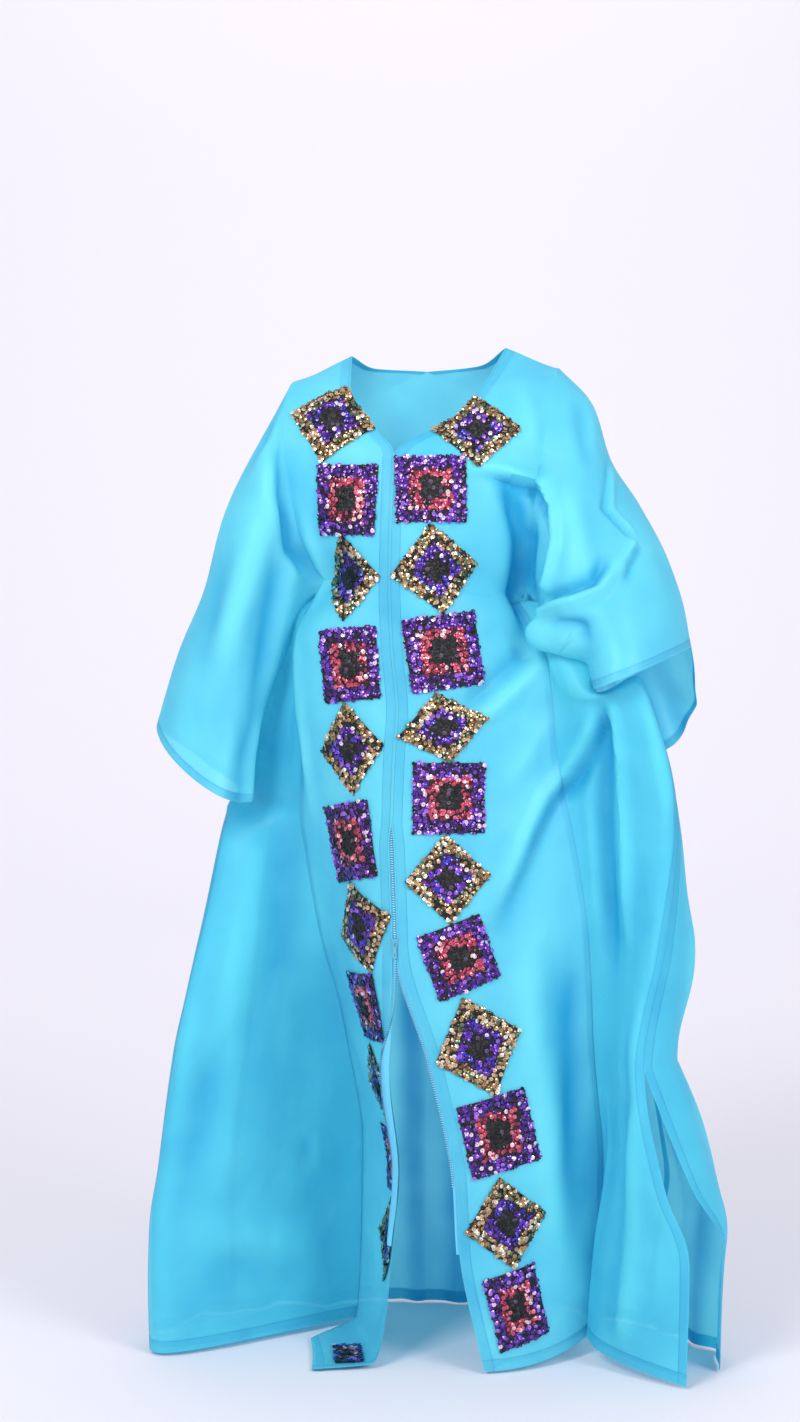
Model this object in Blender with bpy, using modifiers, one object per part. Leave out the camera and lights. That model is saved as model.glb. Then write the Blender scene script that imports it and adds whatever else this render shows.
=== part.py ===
"""Grand boubou: a floor-length organza robe, open below the hip, with wide sleeves, side gores
and slits, a front zip and two columns of sequin patches.

The robe hangs from the neck and shoulders, where its origin is. Right and left are the
wearer's: the right side is at -X. The front faces -Y and +Z is up. Lengths are in metres.
"""

import math

import bmesh
import bpy
import numpy as np
from mathutils import Vector
from mathutils.bvhtree import BVHTree

RIGHT, LEFT = -1, 1
SIDE_NAMES = {RIGHT: "right", LEFT: "left"}

WALL = 0.0015  # cloth wall
SEAM_GAP = 0.0003  # between neighbouring pieces
ROWS_PER_SECTION = 2
FRONT_COLUMNS = 6
GORE_COLUMNS = 4
BACK_COLUMNS = 6
RINGS_PER_SECTION = 2
HANDLE = 0.37  # a plan curve's handles, as a share of its chord
SIDE_DROP = 9.5  # makes the most of share * (1 - share) ** 3 one
STEP = 1e-3  # for slopes, in sections and shares
SAMPLES = 400  # along a line that is searched for a height or a distance
SHARP = math.radians(40)  # a turn between faces that is an edge
HALVES = ((1, 0, 1, 1), (1, 1, 0, 1))  # the two triangles of a cell, by rows and columns

# ---------------------------------------------------------------------------- the body's form
# A section is a level where the robe is measured, from the shoulder down to the floor.
# Turns are headings in degrees: 0 goes sideways, 90 to the back and -90 to the front.
SECTIONS = (
    "shoulder", "neck_side", "neck_front", "neck_point", "bust", "underarm", "ribs", "waist",
    "belly", "cuff", "hip", "zip", "knee", "calf", "shin", "hem", "floor",
)
UNDERARM, SLIT_TOP, HEM, FLOOR = (SECTIONS.index(s) for s in ("underarm", "knee", "hem", "floor"))
NECK_POINT, ZIP, SHIN, CENTRE_BACK_TOP = (
    SECTIONS.index(s) for s in ("neck_point", "zip", "shin", "neck_front")
)

# How far round the armhole each of the upper sections ends.
ARMHOLE_SHARES = (0.0, 0.2, 0.38, 0.54, 0.77, 1.0)

# columns: x, y, z and turn of the front edge, then x, y, z and turn of the gore seam.
# Above the underarm the panel ends on the armhole, so only the turn is used there.
FRONT_PANEL = {
    RIGHT: (
        (-0.107, 0.020, -0.006, 0, 0, 0, 0, 0),
        (-0.108, -0.045, -0.058, 0, 0, 0, 0, 15),
        (-0.068, -0.098, -0.122, 0, 0, 0, 0, 20),
        (-0.045, -0.120, -0.157, 5, 0, 0, 0, 25),
        (-0.049, -0.136, -0.250, 5, 0, 0, 0, 35),
        (-0.051, -0.142, -0.345, 8, -0.143, -0.040, -0.338, 65),
        (-0.048, -0.150, -0.430, 10, -0.188, -0.052, -0.430, 80),
        (-0.040, -0.162, -0.520, 15, -0.187, -0.055, -0.520, 75),
        (-0.044, -0.169, -0.580, 20, -0.185, -0.050, -0.580, 62),
        (-0.047, -0.175, -0.655, 25, -0.186, -0.040, -0.655, 52),
        (-0.048, -0.178, -0.695, 28, -0.184, -0.034, -0.695, 50),
        (-0.043, -0.183, -0.860, 25, -0.155, 0.005, -0.860, 66),
        (-0.050, -0.168, -1.030, 72, -0.118, 0.075, -1.030, 75),
        (-0.033, -0.128, -1.200, 92, -0.093, 0.125, -1.200, 80),
        (-0.041, -0.105, -1.310, 95, -0.094, 0.130, -1.310, 80),
        (-0.072, -0.125, -1.477, 90, -0.105, 0.120, -1.477, 85),
        (-0.160, -0.138, -1.483, 90, -0.170, 0.018, -1.483, 85),
    ),
    LEFT: (
        (0.121, 0.020, 0.006, 0, 0, 0, 0, 0),
        (0.086, -0.045, -0.052, 0, 0, 0, 0, 15),
        (0.047, -0.088, -0.098, 0, 0, 0, 0, 20),
        (-0.043, -0.120, -0.157, -8, 0, 0, 0, 25),
        (-0.049, -0.136, -0.250, -8, 0, 0, 0, 35),
        (-0.051, -0.142, -0.345, -10, 0.143, -0.050, -0.362, 60),
        (-0.048, -0.150, -0.430, -10, 0.166, -0.085, -0.435, 35),
        (-0.040, -0.162, -0.520, -8, 0.184, -0.115, -0.500, 10),
        (-0.044, -0.169, -0.580, -5, 0.190, -0.122, -0.575, 5),
        (-0.047, -0.175, -0.655, 0, 0.205, -0.118, -0.655, 10),
        (-0.048, -0.178, -0.695, 0, 0.214, -0.115, -0.695, 15),
        (-0.043, -0.183, -0.860, 5, 0.240, -0.100, -0.860, 20),
        (0.006, -0.172, -1.030, 5, 0.250, -0.070, -1.030, 30),
        (0.041, -0.165, -1.200, 5, 0.264, -0.055, -1.190, 40),
        (0.047, -0.160, -1.310, 0, 0.264, -0.040, -1.300, 48),
        (0.083, -0.150, -1.483, 5, 0.262, -0.028, -1.450, 50),
    ),
}

# Where both front edges run together, from the neckline's point to the zip's slider.
CENTRE_FRONT = [row[:3] for row in FRONT_PANEL[RIGHT][NECK_POINT : ZIP + 1]]

# columns: turn at the front seam, then x, y, z and turn at the side, from the underarm down.
FRONT_GORE = {
    RIGHT: (
        (65, -0.150, -0.010, -0.338, 90),
        (85, -0.192, 0.060, -0.430, 90),
        (75, -0.226, 0.116, -0.520, 110),
        (72, -0.252, 0.122, -0.580, 115),
        (75, -0.275, 0.118, -0.655, 115),
        (40, -0.298, 0.035, -0.700, 100),
        (10, -0.333, -0.008, -0.860, 90),
        (-10, -0.368, -0.015, -1.030, 90),
        (-28, -0.397, -0.020, -1.200, 90),
        (-30, -0.410, -0.022, -1.310, 90),
        (-30, -0.409, -0.020, -1.483, 90),
    ),
    LEFT: (
        (60, 0.150, -0.020, -0.366, 90),
        (30, 0.204, -0.084, -0.440, 75),
        (10, 0.243, -0.158, -0.502, 60),
        (-20, 0.300, -0.180, -0.472, 95),
        (-15, 0.338, -0.185, -0.565, 90),
        (-10, 0.362, -0.175, -0.695, 70),
        (-20, 0.342, -0.200, -0.860, 40),
        (-40, 0.310, -0.215, -1.030, 20),
        (-75, 0.340, -0.220, -1.200, -10),
        (-115, 0.375, -0.224, -1.310, -20),
        (-135, 0.372, -0.225, -1.483, -30),
    ),
}

# columns: turn at the side, share of the arc in the gore, drop of the arc near the side.
BACK = {
    RIGHT: (
        (180, 0.0, 0.0), (165, 0.0, 0.0), (160, 0.0, 0.0), (155, 0.0, 0.0), (140, 0.0, 0.0),
        (100, 0.04, 0.0), (90, 0.20, 0.0), (110, 0.26, 0.0), (115, 0.30, 0.0), (115, 0.33, 0.0),
        (100, 0.38, 0.0), (90, 0.42, 0.0), (90, 0.44, 0.0), (90, 0.44, 0.0), (90, 0.44, 0.0),
        (90, 0.44, 0.0),
    ),
    LEFT: (
        (180, 0.0, 0.0), (165, 0.0, 0.0), (160, 0.0, 0.0), (155, 0.0, 0.0), (140, 0.0, 0.0),
        (100, 0.04, 0.0), (80, 0.24, 0.04), (60, 0.34, 0.10), (95, 0.40, 0.16), (90, 0.42, 0.10),
        (70, 0.42, 0.02), (40, 0.42, 0.0), (20, 0.44, 0.0), (40, 0.44, 0.0), (70, 0.44, 0.0),
        (80, 0.44, 0.0),
    ),
}
# columns: x, y, z of the back edge of the side slit, from its top down to the hem.
SLIT_BACK_EDGE = {
    RIGHT: (
        (-0.368, -0.015, -1.030), (-0.397, -0.012, -1.200),
        (-0.408, 0.002, -1.310), (-0.405, 0.025, -1.483),
    ),
    LEFT: (
        (0.310, -0.215, -1.030), (0.378, -0.205, -1.200),
        (0.428, -0.180, -1.300), (0.428, -0.140, -1.483),
    ),
}

# columns: x, y, z of the middle of the back, down to the hem.
CENTRE_BACK = (
    (0.006, 0.088, -0.026),
    (0.006, 0.108, -0.080),
    (0.006, 0.132, -0.200),
    (0.005, 0.146, -0.335),
    (0.005, 0.150, -0.430),
    (0.005, 0.155, -0.520),
    (0.005, 0.160, -0.590),
    (0.005, 0.167, -0.665),
    (0.005, 0.172, -0.720),
    (0.005, 0.185, -0.870),
    (0.005, 0.200, -1.030),
    (0.005, 0.215, -1.200),
    (0.005, 0.230, -1.310),
    (0.005, 0.250, -1.483),
)
# columns: x, y, z of the back neckline at the shoulder and halfway to the middle.
BACK_NECKLINE = {
    RIGHT: ((-0.107, 0.020, -0.006), (-0.072, 0.068, -0.022)),
    LEFT: ((0.121, 0.020, 0.006), (0.082, 0.068, -0.019)),
}

# ------------------------------------------------------------------------- the sleeves' form
# Rings from the armhole to the cuff. columns: x, y, z of the top, x, y, z of the lower edge,
# then how far the middles of the front and of the back wall lie from the ring's centre.
SLEEVE = {
    RIGHT: (
        (-0.183, 0.020, -0.046, -0.150, -0.010, -0.338, -0.035, -0.085, 0.020, -0.03, 0.085, 0.02),
        (-0.228, 0.000, -0.117, -0.179, -0.010, -0.384, -0.022, -0.098, 0.010, -0.02, 0.100, 0.01),
        (-0.295, -0.005, -0.250, -0.213, -0.010, -0.470, -0.010, -0.100, 0.0, -0.01, 0.105, 0.0),
        (-0.325, -0.010, -0.352, -0.237, -0.012, -0.537, -0.005, -0.100, -0.008, 0.0, 0.100, 0.0),
        (-0.362, -0.010, -0.441, -0.248, -0.012, -0.600, 0.000, -0.096, -0.020, 0.0, 0.095, -0.010),
        (-0.396, -0.010, -0.552, -0.252, -0.012, -0.655, 0.000, -0.090, -0.030, 0.0, 0.090, -0.015),
    ),
    LEFT: (
        (0.202, 0.020, -0.024, 0.150, -0.020, -0.366, -0.012, -0.098, 0.010, 0.010, 0.092, 0.01),
        (0.250, 0.005, -0.084, 0.166, -0.048, -0.374, -0.012, -0.105, 0.010, 0.010, 0.110, 0.01),
        (0.277, -0.005, -0.164, 0.166, -0.088, -0.390, -0.005, -0.110, 0.010, 0.005, 0.130, 0.0),
        (0.316, -0.015, -0.225, 0.172, -0.120, -0.410, 0.000, -0.110, 0.0, 0.010, 0.140, -0.020),
        (0.354, -0.035, -0.303, 0.202, -0.135, -0.412, 0.000, -0.110, 0.0, 0.020, 0.130, -0.050),
        (0.378, -0.060, -0.377, 0.228, -0.150, -0.443, 0.000, -0.105, 0.0, 0.030, 0.120, -0.085),
        (0.387, -0.085, -0.434, 0.240, -0.165, -0.491, -0.010, -0.100, 0.0, 0.045, 0.115, -0.126),
    ),
}

# --------------------------------------------------------------------------------- patches
PATCH_UPRIGHT = 0.100  # side of a patch sewn on square
PATCH_TURNED = 0.091  # side of a patch sewn on corner down
PATCH_THICK = 0.0015
PATCH_LIFT = 0.0006  # above the highest cloth under it
PATCH_CELLS = 4
PATCH_CHECKS = 4  # along each cell, for the highest cloth under it
LAYING_ROUNDS = 4  # to find where each of its points lies on the cloth
REACH = 0.05
# columns: height of the section line that the patch's middle is on, its distance along that
# line from the front edge, its tilt in degrees, clockwise for the one who looks, and how much
# of its own width and height it is drawn to by the cloth, because net gives.
PATCHES = {
    RIGHT: (
        (-0.1087, 0.0548, 8, 1.0, 1.0), (-0.1988, 0.0695, 16, 0.9, 1.0),
        (-0.3333, 0.0670, -6, 0.8, 0.98), (-0.4576, 0.0650, -6, 0.86, 1.04),
        (-0.5786, 0.0700, -6, 0.85, 1.04), (-0.7128, 0.0727, -11, 0.92, 1.1),
        (-0.8350, 0.0600, -20, 0.95, 1.06), (-0.9540, 0.0655, -4, 0.86, 1.0),
        (-1.0780, 0.0670, -1, 0.9, 1.06), (-1.1950, 0.0650, 3, 1.0, 1.0),
        (-1.3150, 0.0680, 0, 1.0, 1.0), (-1.4805, 0.0620, 0, 0.9, 0.42),
    ),
    LEFT: (
        (-0.1100, 0.0480, -14, 1.0, 0.94), (-0.1877, 0.0578, -17, 1.0, 0.95),
        (-0.3053, 0.0685, -21, 1.0, 1.02), (-0.4386, 0.0747, -8, 1.06, 1.05),
        (-0.5479, 0.0677, -9, 1.02, 0.78), (-0.6471, 0.0818, 1, 1.05, 1.0),
        (-0.7621, 0.0757, -3, 0.97, 1.0), (-0.8759, 0.0880, -20, 0.97, 0.98),
        (-1.0060, 0.0760, -19, 1.03, 1.2), (-1.1346, 0.0745, -12, 1.05, 1.08),
        (-1.2661, 0.0725, -9, 0.96, 1.08), (-1.3932, 0.0710, -12, 0.8, 1.1),
    ),
}

# ------------------------------------------------------------------------------------- zip
TAPE_WIDTH = 0.014
TAPE_THICK = 0.0006
TAPE_BEHIND = WALL + 0.0006  # a tape's outer face, behind the cloth's
EXPOSED_Z = -0.683  # the folded edge ends here and the teeth show below it
EXPOSED_GAP = 0.0035  # from the teeth to each front edge
EXPOSED_RUN = 0.03  # the height over which the edges part
TEETH_GAP = 0.0004  # from each row of teeth to the middle where the zip is closed
TEETH_REACH = 0.0015  # beyond that, where the zip is open
# The right tape is turned out like a lapel where the zip is open. columns: section, then how
# far its sewn edge, its middle and its teeth lie in from the front edge and before the cloth.
LAPEL = (
    (11.0, 0.0030, -0.0026, -0.0005, -0.0024, -0.0032, -0.0021),
    (11.5, -0.0020, -0.0035, -0.0032, -0.0030, -0.0048, -0.0012),
    (12.0, -0.0030, 0.0000, -0.0010, 0.0060, 0.0060, 0.0090),
    (12.5, -0.0030, 0.0010, 0.0010, 0.0075, 0.0160, 0.0095),
    (13.0, -0.0030, 0.0010, 0.0025, 0.0080, 0.0260, 0.0100),
    (13.5, -0.0030, 0.0010, 0.0015, 0.0075, 0.0210, 0.0095),
    (14.0, -0.0030, 0.0010, 0.0005, 0.0065, 0.0140, 0.0080),
)
SLIDER_Z = -0.853
SLIDER_SIZE = (0.0085, 0.0018, 0.0130)
SLIDER_EDGE = 0.0005
SLIDER_CLEAR = 0.0004  # in front of the cloth
CHANNEL_WIDTH = 0.0045  # the part of the slider that reaches in to the tapes
CHANNEL_HEIGHT = 0.0104
BRIDGE_RADIUS = 0.0026
BRIDGE_WIRE = 0.00055
BRIDGE_POINTS = 13
BRIDGE_TURN = 100  # from its middle to each foot, in degrees
WELD = 0.00001
TAB_AXIS = (0.0011, 0.0006)  # in front of the slider's plate and below its middle
TAB_SIZE = (0.0060, 0.0010, 0.0210)
TAB_TOP = 0.0005  # above the axis
TAB_EDGE = 0.0003
TAB_SLOT = (0.0022, 0.0005, 0.0042)  # width, and where it starts and ends below the axis
TAB_HOLE_RADIUS = 0.0014
TAB_HOLE_DROP = 0.0160
TAB_HOLE_SIDES = 20
CUTTER_DEPTH = 0.0040  # right through the tab


def slopes(table):
    """Slopes at the rows of a table, such that a curve through them never overshoots."""
    step = np.diff(table, axis=0)
    inner = np.where(step[1:] * step[:-1] > 0, 2 * step[1:] * step[:-1], 0)
    inner = inner / np.where(inner == 0, 1, step[1:] + step[:-1])
    return np.vstack((step[:1], inner, step[-1:]))


def read_table(table, level):
    """Values of every column at levels between the rows."""
    table = np.asarray(table, float)
    slope = slopes(table)
    level = np.clip(level, 0, len(table) - 1)
    row = np.minimum(level.astype(int), len(table) - 2)
    t = (level - row)[..., None]
    a, b = table[row], table[row + 1]
    da, db = slope[row], slope[row + 1]
    keep = (1 + 2 * t) * (1 - t) ** 2 * a + t * t * (3 - 2 * t) * b
    return keep + t * (1 - t) ** 2 * da - t * t * (1 - t) * db


def plan_curve(start, start_turn, end, end_turn, share, side):
    """Points of a curve that is drawn in plan between two stations. Heights are even."""
    chord = np.linalg.norm((end - start)[..., :2], axis=-1)[..., None] * HANDLE
    third = (end - start) * (0, 0, 1 / 3)

    def handle(turn):
        angle = np.radians(turn)
        flat = np.zeros_like(angle)
        return chord * np.stack((side * np.cos(angle), np.sin(angle), flat), -1)

    t = share[..., None]
    b = start + handle(start_turn) + third
    c = end - handle(end_turn) - third
    return start * (1 - t) ** 3 + 3 * b * t * (1 - t) ** 2 + 3 * c * t * t * (1 - t) + end * t**3


def ring_point(side, ring, turn):
    """A point of a sleeve: turn is 0 at its top, 1 at its lower edge and negative behind."""
    row = read_table(SLEEVE[side], ring)
    top, low, front, back = row[..., :3], row[..., 3:6], row[..., 6:9], row[..., 9:]
    angle = (np.pi * np.asarray(turn))[..., None]
    bow = np.where(angle >= 0, front, back) * np.abs(np.sin(angle))
    return (top + low) / 2 + (top - low) / 2 * np.cos(angle) + bow


def armhole(side, level, front):
    """The armhole at an upper section, on the front or the back."""
    turn = np.interp(level, range(len(ARMHOLE_SHARES)), ARMHOLE_SHARES)
    return ring_point(side, np.zeros_like(turn), turn if front else -turn)


def front_panel(side, level, share):
    """A front panel: share is 0 at the front edge and 1 at the gore seam or the armhole."""
    row = read_table(FRONT_PANEL[side], level)
    lower = read_table(FRONT_PANEL[side][UNDERARM:], level - UNDERARM)
    upper = (level < UNDERARM)[..., None]
    end = np.where(upper, armhole(side, level, True), lower[..., 4:7])
    closed = ((level >= NECK_POINT) & (level <= ZIP))[..., None]
    middle = read_table(CENTRE_FRONT, level - NECK_POINT)
    start = np.where(closed, middle, row[..., :3])
    start[..., 0] += side * edge_gap(start[..., 2])
    point = plan_curve(start, row[..., 3], end, row[..., 7], share, side)
    late = (share**2 - share) * (end - start)[..., 2] * (level > UNDERARM)
    point[..., 2] += late
    return point


def edge_gap(z):
    """How far a front edge stands from the teeth: none while the folded edge hides them."""
    return SEAM_GAP / 2 + EXPOSED_GAP * np.clip((EXPOSED_Z - z) / EXPOSED_RUN, 0, 1)


def front_gore(side, level, share):
    """A front gore: share is 0 at its seam with the front panel and 1 at the side seam."""
    ones = np.ones_like(share)
    start = front_panel(side, level, ones)
    row = read_table(FRONT_GORE[side], level - UNDERARM)
    return plan_curve(start, row[..., 0], row[..., 1:4], row[..., 4], share, side)


def centre_back(side, level):
    """The inner edge of a half of the back: the neckline, and then its middle."""
    neck = read_table(BACK_NECKLINE[side] + CENTRE_BACK[:1], level)
    middle = read_table(CENTRE_BACK, level - CENTRE_BACK_TOP)
    return np.where((level < CENTRE_BACK_TOP)[..., None], neck, middle)


def back(side, level, share):
    """A half of the back, with its gore: share is 0 at the side and 1 at the middle."""
    row = read_table(BACK[side], level)
    joined = front_gore(side, np.maximum(level, UNDERARM), np.ones_like(share))
    split = read_table(SLIT_BACK_EDGE[side], level - SLIT_TOP)
    start = np.where((level <= SLIT_TOP)[..., None], joined, split)
    start = np.where((level < UNDERARM)[..., None], armhole(side, level, False), start)
    end = centre_back(side, level)
    point = plan_curve(start, row[..., 0], end, np.full_like(share, 180.0), share, side)
    point[..., 2] -= row[..., 2] * SIDE_DROP * share * (1 - share) ** 3
    return point


def back_seam(side, level):
    """Where the gore's seam crosses the back, as a share."""
    return read_table(BACK[side], level)[..., 1]


def back_gore(side, level, share):
    """The gore's part of the back: share is 0 at the side and 1 at its seam."""
    return back(side, level, share * back_seam(side, level))


def back_panel(side, level, share):
    """The panel's part of the back: share is 0 at the gore seam and 1 at the middle."""
    seam = np.where(level < UNDERARM, 0, back_seam(side, level))
    return back(side, level, seam + (1 - seam) * share)


# ----------------------------------------------------------------------------------- solids


class Sheet:
    """A grid of points on cloth, with the way out at each."""

    def __init__(self, points, sign, closed=False):
        around = points
        if closed:
            around = np.concatenate((points[:, -2:-1], points, points[:, 1:2]), axis=1)
        across = np.gradient(around, axis=1)
        down = np.gradient(around, axis=0)
        out = np.cross(down, across) * sign
        out = out / np.linalg.norm(out, axis=-1)[..., None]
        self.points = points
        self.out = out[:, 1:-1] if closed else out


def panel_sheet(form, side, first, last, columns):
    """A sheet on one of the body's forms, between two sections."""
    rows = (last - first) * ROWS_PER_SECTION + 1
    level, share = np.meshgrid(
        np.linspace(first, last, rows), np.linspace(0, 1, columns + 1), indexing="ij"
    )
    return Sheet(form(side, level, share), side)


def sleeve_sheet(side):
    """A sheet right round a sleeve, whose first ring has the points of the armhole."""
    rings = (len(SLEEVE[side]) - 1) * RINGS_PER_SECTION + 1
    levels = np.linspace(0, UNDERARM, UNDERARM * ROWS_PER_SECTION + 1)
    turns = np.interp(levels, range(len(ARMHOLE_SHARES)), ARMHOLE_SHARES)
    turns = np.concatenate((turns, -turns[-2::-1]))
    ring, turn = np.meshgrid(
        np.linspace(0, len(SLEEVE[side]) - 1, rings), turns, indexing="ij"
    )
    return Sheet(ring_point(side, ring, turn), -side, closed=True)


def share_out(a, b):
    """Gives two edges that meet the same way out, so that their rims are parallel."""
    mean = a + b
    mean = mean / np.linalg.norm(mean, axis=-1)[..., None]
    a[...] = mean
    b[...] = mean


def draw_back(points, edge):
    """Moves one edge of a grid back by half a seam gap."""
    near, far = {
        "first": (points[:, 0], points[:, 1]),
        "last": (points[:, -1], points[:, -2]),
        "top": (points[0], points[1]),
    }[edge]
    way = far - near
    near += way / np.linalg.norm(way, axis=-1)[..., None] * SEAM_GAP / 2


def material(name, colour, roughness, metallic=0.0):
    made = bpy.data.materials.new(name)
    made.use_nodes = True
    shader = made.node_tree.nodes["Principled BSDF"]
    shader.inputs["Base Color"].default_value = (*colour, 1)
    shader.inputs["Roughness"].default_value = roughness
    shader.inputs["Metallic"].default_value = metallic
    made.diffuse_color = (*colour, 1)
    return made


def add_object(name, mesh, made_of):
    mesh.materials.append(made_of)
    mesh.shade_smooth()
    mesh.set_sharp_from_angle(angle=SHARP)
    built = bpy.data.objects.new(name, mesh)
    robe.objects.link(built)
    return built


def wall(name, sheets, thickness, made_of):
    """A closed wall between sheets of points and the same points moved in. Sheets that share
    an edge become one."""
    spots, corners, faces = {}, [], []
    for sheet in sheets:
        rows, columns = sheet.points.shape[:2]
        index = np.empty((rows, columns), int)
        for r in range(rows):
            for c in range(columns):
                key = tuple(np.round(sheet.points[r, c], 5))
                if key not in spots:
                    spots[key] = len(corners)
                    corners.append((sheet.points[r, c], sheet.out[r, c]))
                index[r, c] = spots[key]
        for r in range(rows - 1):
            for c in range(columns - 1):
                for r_a, c_a, r_b, c_b in HALVES:
                    face = [index[r, c], index[r + r_a, c + c_a], index[r + r_b, c + c_b]]
                    if len(set(face)) == 3:
                        faces.append(face)
    mesh = bmesh.new()
    outer = [mesh.verts.new(p) for p, _ in corners]
    inner = [mesh.verts.new(p - n * thickness) for p, n in corners]
    open_sides = set()
    for face in faces:
        for a, b in zip(face, face[1:] + face[:1]):
            open_sides ^= {(min(a, b), max(a, b))}
    for face in faces:
        mesh.faces.new([outer[k] for k in face])
        mesh.faces.new([inner[k] for k in reversed(face)])
    for a, b in sorted(open_sides):
        mesh.faces.new((outer[b], outer[a], inner[a], inner[b]))
    bmesh.ops.recalc_face_normals(mesh, faces=mesh.faces)
    data = bpy.data.meshes.new(name)
    mesh.to_mesh(data)
    mesh.free()
    return add_object(name, data, made_of)


for old in list(bpy.data.objects):
    bpy.data.objects.remove(old, do_unlink=True)
robe = bpy.data.collections.new("Grand boubou")
bpy.context.scene.collection.children.link(robe)

ORGANZA = material("organza", (0.05, 0.53, 0.83), 0.42)
GORE_ORGANZA = material("gore organza", (0.04, 0.48, 0.80), 0.42)
GOLD_SEQUINS = material("gold sequins", (0.58, 0.35, 0.12), 0.3, 0.8)
PURPLE_SEQUINS = material("purple sequins", (0.08, 0.012, 0.24), 0.3, 0.6)
ZIP_TAPE = material("zip tape", (0.10, 0.55, 0.80), 0.6)
ZIP_METAL = material("painted zip metal", (0.25, 0.50, 0.68), 0.35, 0.3)

# ------------------------------------------------------------------------------- the panels
UPPER_ROWS = UNDERARM * ROWS_PER_SECTION
fronts, front_gores, back_gores, back_panels, sleeves = {}, {}, {}, {}, {}
for side in (RIGHT, LEFT):
    last = FLOOR if side == RIGHT else HEM
    fronts[side] = panel_sheet(front_panel, side, 0, last, FRONT_COLUMNS)
    front_gores[side] = panel_sheet(front_gore, side, UNDERARM, HEM, GORE_COLUMNS)
    back_gores[side] = panel_sheet(back_gore, side, UNDERARM, HEM, GORE_COLUMNS)
    back_panels[side] = panel_sheet(back_panel, side, 0, HEM, BACK_COLUMNS)
    sleeves[side] = sleeve_sheet(side)

SLIT_ROWS = (SLIT_TOP - UNDERARM) * ROWS_PER_SECTION
MIDDLE_ROW = CENTRE_BACK_TOP * ROWS_PER_SECTION
CLOSED_ROWS = slice(NECK_POINT * ROWS_PER_SECTION, ZIP * ROWS_PER_SECTION + 1)
for _ in range(2):
    for side in (RIGHT, LEFT):
        front, gore, sleeve = fronts[side].out, front_gores[side].out, sleeves[side].out
        gore_behind, panel_behind = back_gores[side].out, back_panels[side].out
        share_out(front[0, :], panel_behind[0, ::-1])
        share_out(front[UPPER_ROWS + 1 : UPPER_ROWS + gore.shape[0], -1], gore[1:, 0])
        share_out(gore[: SLIT_ROWS + 1, -1], gore_behind[: SLIT_ROWS + 1, 0])
        share_out(gore_behind[1:, -1], panel_behind[UPPER_ROWS + 1 :, 0])
        share_out(front[:UPPER_ROWS, -1], sleeve[0, :UPPER_ROWS])
        share_out(panel_behind[:UPPER_ROWS, 0], sleeve[0, :UPPER_ROWS:-1])
        share_out(sleeve[:, 0], sleeve[:, -1])
    share_out(*(back_panels[side].out[MIDDLE_ROW:, -1] for side in (RIGHT, LEFT)))
    share_out(*(fronts[side].out[CLOSED_ROWS, 0] for side in (RIGHT, LEFT)))

for side in (RIGHT, LEFT):
    name = SIDE_NAMES[side]
    for sheet, edges in (
        (fronts[side], ("last", "top")),
        (front_gores[side], ("first", "last", "top")),
        (back_gores[side], ("first", "last", "top")),
        (back_panels[side], ("first", "top")),
        (sleeves[side], ("top",)),
    ):
        for edge in edges:
            draw_back(sheet.points, edge)
    wall(f"front_{name}", [fronts[side]], WALL, ORGANZA)
    wall(f"gore_{name}_front", [front_gores[side]], WALL, GORE_ORGANZA)
    wall(f"gore_{name}_back", [back_gores[side]], WALL, GORE_ORGANZA)
    wall(f"sleeve_{name}", [sleeves[side]], WALL, ORGANZA)
wall("back", [back_panels[RIGHT], back_panels[LEFT]], WALL, ORGANZA)


# ------------------------------------------------------------------------------ the patches
def level_at(side, z):
    """The level whose line crosses the front edge at a height."""
    levels = np.linspace(0, len(FRONT_PANEL[side]) - 1, SAMPLES)
    return np.interp(-z, -read_table(FRONT_PANEL[side], levels)[:, 2], levels)


def share_at(side, level, out):
    """The share at a distance along a level's line from the front edge."""
    share = np.linspace(0, 1, SAMPLES)
    line = front_panel(side, np.full_like(share, level), share)
    run = np.concatenate(([0], np.cumsum(np.linalg.norm(np.diff(line, axis=0), axis=1))))
    return np.interp(out, run, share)


def cloth_frame(side, level, share):
    """A point of a front panel, its way out, and the slopes of the form there."""
    spots = np.array([(0, 0), (STEP, 0), (0, STEP)])
    points = front_panel(side, level + spots[:, 0], share + spots[:, 1])
    down, across = (points[1] - points[0]) / STEP, (points[2] - points[0]) / STEP
    out = np.cross(down, across) * side
    return points[0], out / np.linalg.norm(out), down, across


def facets(sheet):
    """The flat faces of a panel's outer side, to lay things on."""
    rows, columns = sheet.points.shape[:2]
    corners = [Vector(p) for p in sheet.points.reshape(-1, 3)]
    faces = []
    for r in range(rows - 1):
        for c in range(columns - 1):
            k = r * columns + c
            for r_a, c_a, r_b, c_b in HALVES:
                faces.append((k, k + r_a * columns + c_a, k + r_b * columns + c_b))
    return BVHTree.FromPolygons(corners, faces)


def height_over(ground, spot, out):
    """How far the facets stand out beyond a spot."""
    start = spot + out * REACH
    hit = ground.ray_cast(Vector(start), Vector(-out), 2 * REACH)
    return REACH - hit[3] if hit[0] else 0.0


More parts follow.
